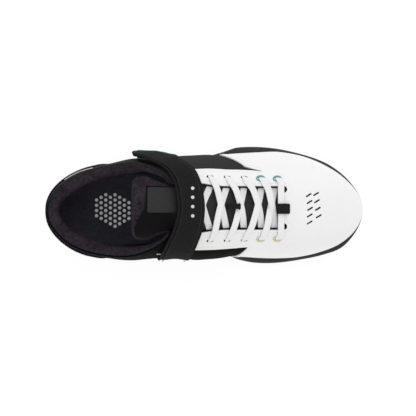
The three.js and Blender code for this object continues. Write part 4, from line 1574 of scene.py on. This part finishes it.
def ribbon(path, widths, thick):
    """Rings of a flat band along a path of points over the last."""
    path = np.asarray(path, float)
    ways = np.gradient(path, axis=0)
    ways /= np.maximum(np.linalg.norm(ways, axis=1, keepdims=True), 1e-9)
    rings = []
    last_side = None
    for spot, way, wide in zip(path, ways, widths):
        slope_x, slope_y = slopes(spot[0], spot[1])
        up = np.array([-slope_x, -slope_y, 1.0])
        side = np.cross(up, way)
        if np.linalg.norm(side) < 0.25 and last_side is not None:
            side = last_side
        side /= np.linalg.norm(side)
        if last_side is not None and np.dot(side, last_side) < 0:
            side = -side
        last_side = side
        lift = np.cross(way, side)
        lift /= np.linalg.norm(lift)
        ring = []
        for t in np.linspace(0, 2 * np.pi, 16, endpoint=False):
            u = np.sign(np.cos(t)) * abs(np.cos(t)) ** 0.4 * wide / 2
            v = np.sign(np.sin(t)) * abs(np.sin(t)) ** 0.7 * thick / 2
            ring.append(spot + side * u + lift * v)
        rings.append(ring)
    return rings


def lace_spot(x, y, over):
    return (x, y, float(dome_z(x, y, over)))


leads = [-0.19, 0.03, -0.02, -0.07, -0.06]
bends = [0.9, 2.0, 1.7, -0.2, -1.6]
lace_exit = 17.0
lace_stop = 25.0

# Where a run folds into its eyelet: ahead of it, out from it, height over the last and width
lace_tuck = [
    (3.2, -3.7, 2.75, 6.1),
    (2.0, -1.4, 2.6, 6.0),
    (1.2, 0.0, 1.9, 5.9),
    (0.8, 0.7, 0.3, 5.7),
    (0.7, 0.7, -2.5, 5.5),
]

# Where a run lies between the eyestays: share of the way, height, and share of the over or under
lace_middle = [(0.2, -1.0, 0.25), (0.42, 0.9, 0.72), (0.62, 2.1, 0.45), (0.82, 2.75, 0.1)]


def sweep_lace(knots, count):
    """A ribbon through rows of x, y, height over the last and width."""
    rows = spline(knots, count)
    return ribbon([lace_spot(x, y, over) for x, y, over, _ in rows], rows[:, 3], lace_thick)


def crossing(i, side, high):
    """One run, from under an eyestay over the other one and down into its eyelet."""
    start_x = eyelet(i, side)[0] + eyelet_pitch * leads[i]
    end_x, end_y = eyelet(i + 1, -side)
    knots = [
        (mix(eyelet(i, side)[0], start_x, 0.5), side * 25.5, -3.0, 4.6),
        (start_x + 0.2, side * 20.6, -2.6, 5.8),
        (start_x, side * lace_exit, -2.1, 6.3),
    ]
    bend = bends[i] + (0.65 if side < 0 else -1.0)
    for t, over, share in lace_middle:
        x = mix(start_x, end_x + 4.4, t) + bend * 4 * t * (1 - t)
        knots.append((x, side * mix(lace_exit, -lace_stop, t), over + high * share, 6.4))
    knots += [(end_x + lead, end_y - side * out, over, wide) for lead, out, over, wide in lace_tuck]
    return sweep_lace(knots, 76)


def bar_run():
    x = eyelet(0, 1)[0]
    knots = [(x + lead, eyelet(0, 1)[1] + out, over, wide) for lead, out, over, wide in lace_tuck[::-1]]
    knots += [(x + 3.2, y, 2.8, 6.2) for y in (16, 6, -6, -16)]
    knots += [(x + lead, eyelet(0, -1)[1] - out, over, wide) for lead, out, over, wide in lace_tuck]
    return sweep_lace(knots, 84)


join_bodies("lace_front_bar", [bar_run()], lace_weave, "lace", ["lace_bar"])
for i in range(eyelet_pairs - 1):
    top_side = 1 if i % 2 else -1
    runs = [crossing(i, side, 1 if side == top_side else -1) for side in (1, -1)]
    join_bodies(f"lace_crossing_{i + 1}", runs, lace_weave, "lace", [f"lace_cross_{i + 1}"])
print("lace runs:", 1 + 2 * (eyelet_pairs - 1))

# %% Eyelet rings and keepers
def ring_body(x, y, over, high):
    """A long flat ring with a round edge on the skin."""
    rings = []
    turn = np.arange(28) * np.pi / 14
    for share, h in ((0, -0.8), (0, high * 0.6), (0.3, high), (0.8, high * 0.8), (1, -0.3)):
        long, wide = mix(eyelet_length / 2, 4.4, share), mix(eyelet_wide / 2, 3.1, share)
        rings.append([lace_spot(x + long * np.cos(t), y + wide * np.sin(t), over + h) for t in turn])
    return rings


def eyelet_rings(name, spots, finish):
    points, faces = [], []
    for x, y in spots:
        rings = np.array(ring_body(x, y, 1.5, 0.6))
        start = len(points)
        points += rings.reshape(-1, 3).tolist()
        faces += [tuple(start + k for k in f) for f in ring_faces(len(rings), 28, True, True)]
    return face_out(add_piece(name, points, faces, finish, "light_skin"))


eyelet_rings("eyelets_outer", [eyelet(0, 1), eyelet(1, 1)], teal_ring)
eyelet_rings("eyelets_inner", [eyelet(0, -1), eyelet(1, -1)], cream_ring)


def tab_body(front, length, width, middle, rows, square, thick=1.0):
    """A webbing tab along the shoe; rows are shares along it and heights over the last."""
    shares, overs = np.array(rows).T
    rings = []
    for share in np.linspace(0, 1, 28):
        x = front - length * share
        over = np.interp(share, shares, overs)
        blunt = mix(0.86, 1, ease(share / 0.08))
        narrow = blunt if square else np.sqrt(np.clip(1 - (1 - share / 0.1) ** 2, 0.55, 1))
        ring = []
        for t in np.linspace(0, 2 * np.pi, 16, endpoint=False):
            u = np.sign(np.cos(t)) * abs(np.cos(t)) ** 0.15 * narrow * width / 2
            v = np.sign(np.sin(t)) * abs(np.sin(t)) ** 0.7 * thick / 2
            y = middle + u
            ring.append((x, y, float(dome_z(x, middle, over)) + thick / 2 + v))
        rings.append(ring)
    return rings


bar_over = 4.2
front_rows = [(0, 1.6), (0.2, 1.9), (0.4, bar_over), (0.9, bar_over), (1, 3.4)]
tongue_rows = [(0, bar_over - 0.5), (0.5, bar_over), (0.8, 2.4), (1, -1.2)]
front_tab = tab_body(228, 12.5, 9.5, -0.7, front_rows, True)
tongue_tab = tab_body(182.2, 13, 6.3, 1.4, tongue_rows, False)
join_bodies("front_keeper_tab", [front_tab], webbing_weave, "webbing", ["front_keeper"])
join_bodies("tongue_keeper_tab", [tongue_tab], webbing_weave, "webbing", ["tongue_keeper"])
print("eyelets and keepers placed")

# %% [markdown]
# ## Trim
#
# Two small things catch the light: a thin reflective line on the outer side of the heel, for
# riding in the dark, and a light bar tack on the inner side that holds the strap's rear edge.

# %% Reflective line and bar tack
def strip_body(spots, wide, over, thick):
    """A thin strip on the last along (at, lift) spots."""
    spots = np.array(spots, float)
    points = on_last(spots[:, 0], spots[:, 1], over)
    ups = on_last(spots[:, 0], spots[:, 1], over + 1) - points
    ways = np.gradient(points, axis=0)
    rings = []
    for spot, way, up in zip(points, ways, ups):
        up = up / np.linalg.norm(up)
        side = np.cross(up, way)
        side /= np.linalg.norm(side)
        ring = []
        for t in np.linspace(0, 2 * np.pi, 10, endpoint=False):
            u = np.sign(np.cos(t)) * abs(np.cos(t)) ** 0.4 * wide / 2
            ring.append(spot + side * u + up * np.sin(t) * thick / 2)
        rings.append(ring)
    return rings


heel_line = [(at, mix(0.86, 0.8, (at - 0.058) / 0.092)) for at in np.linspace(0.058, 0.15, 30)]
line = strip_body(heel_line, 1.2, 0.3, 0.7)
join_bodies("heel_reflective_line", [line], reflective, "side_textile")
tack = strip_body(from_plan(resample([(105.7, -41.7), (110.3, -42.0)], 1.0)), 1.5, 0.5, 1.0)
join_bodies("strap_bar_tack", [tack], light_thread, "strap_cloth")

# %% [markdown]
# ## Floor, light and hand-over
#
# The photo was taken on a plain pale ground in soft light from all sides. A large pale floor, an
# even bright world and two broad lamps give the same. The floor glows a little, so that hardly
# any shadow lies round the sole, and the outer lamp is the stronger one.

# %% Floor and lights
floor_finish = Finish("pale_floor", (0.12, 0.12, 0.12), 0.9, 0.0)
floor_finish.set("Emission Color", (1.0, 1.0, 1.0))
floor_finish.set("Emission Strength", 0.92)
floor_mesh = bpy.data.meshes.new("pale_floor")
reach = 3.0
corners = [(-reach, -reach, 0), (reach, -reach, 0), (reach, reach, 0), (-reach, reach, 0)]
floor_mesh.from_pydata(corners, [], [(0, 1, 2, 3)])
floor_mesh.materials.append(floor_finish.material)
floor = bpy.data.objects.new("pale_floor", floor_mesh)
bpy.context.scene.collection.objects.link(floor)


def lamp(name, place, aim, size, power):
    """A square soft lamp that looks at a point."""
    made = bpy.data.objects.new(name, bpy.data.lights.new(name, "AREA"))
    made.data.size = size
    made.data.energy = power
    made.location = place
    made.rotation_euler = (Vector(aim) - Vector(place)).to_track_quat("-Z", "Y").to_euler()
    bpy.context.scene.collection.objects.link(made)


lamp("lamp_outer", (0.7, 1.8, 2.0), (0, 0, 0.03), 2.0, 15)
lamp("lamp_inner", (-0.6, -1.4, 1.6), (0, 0, 0.03), 1.4, 3)
world = bpy.data.worlds.new("soft_world")
bpy.context.scene.world = world
world.use_nodes = True
sky = next(n for n in world.node_tree.nodes if n.type == "BACKGROUND")
sky.inputs["Color"].default_value = (1, 1, 1, 1)
sky.inputs["Strength"].default_value = 0.8
bpy.context.scene.view_settings.view_transform = "Standard"
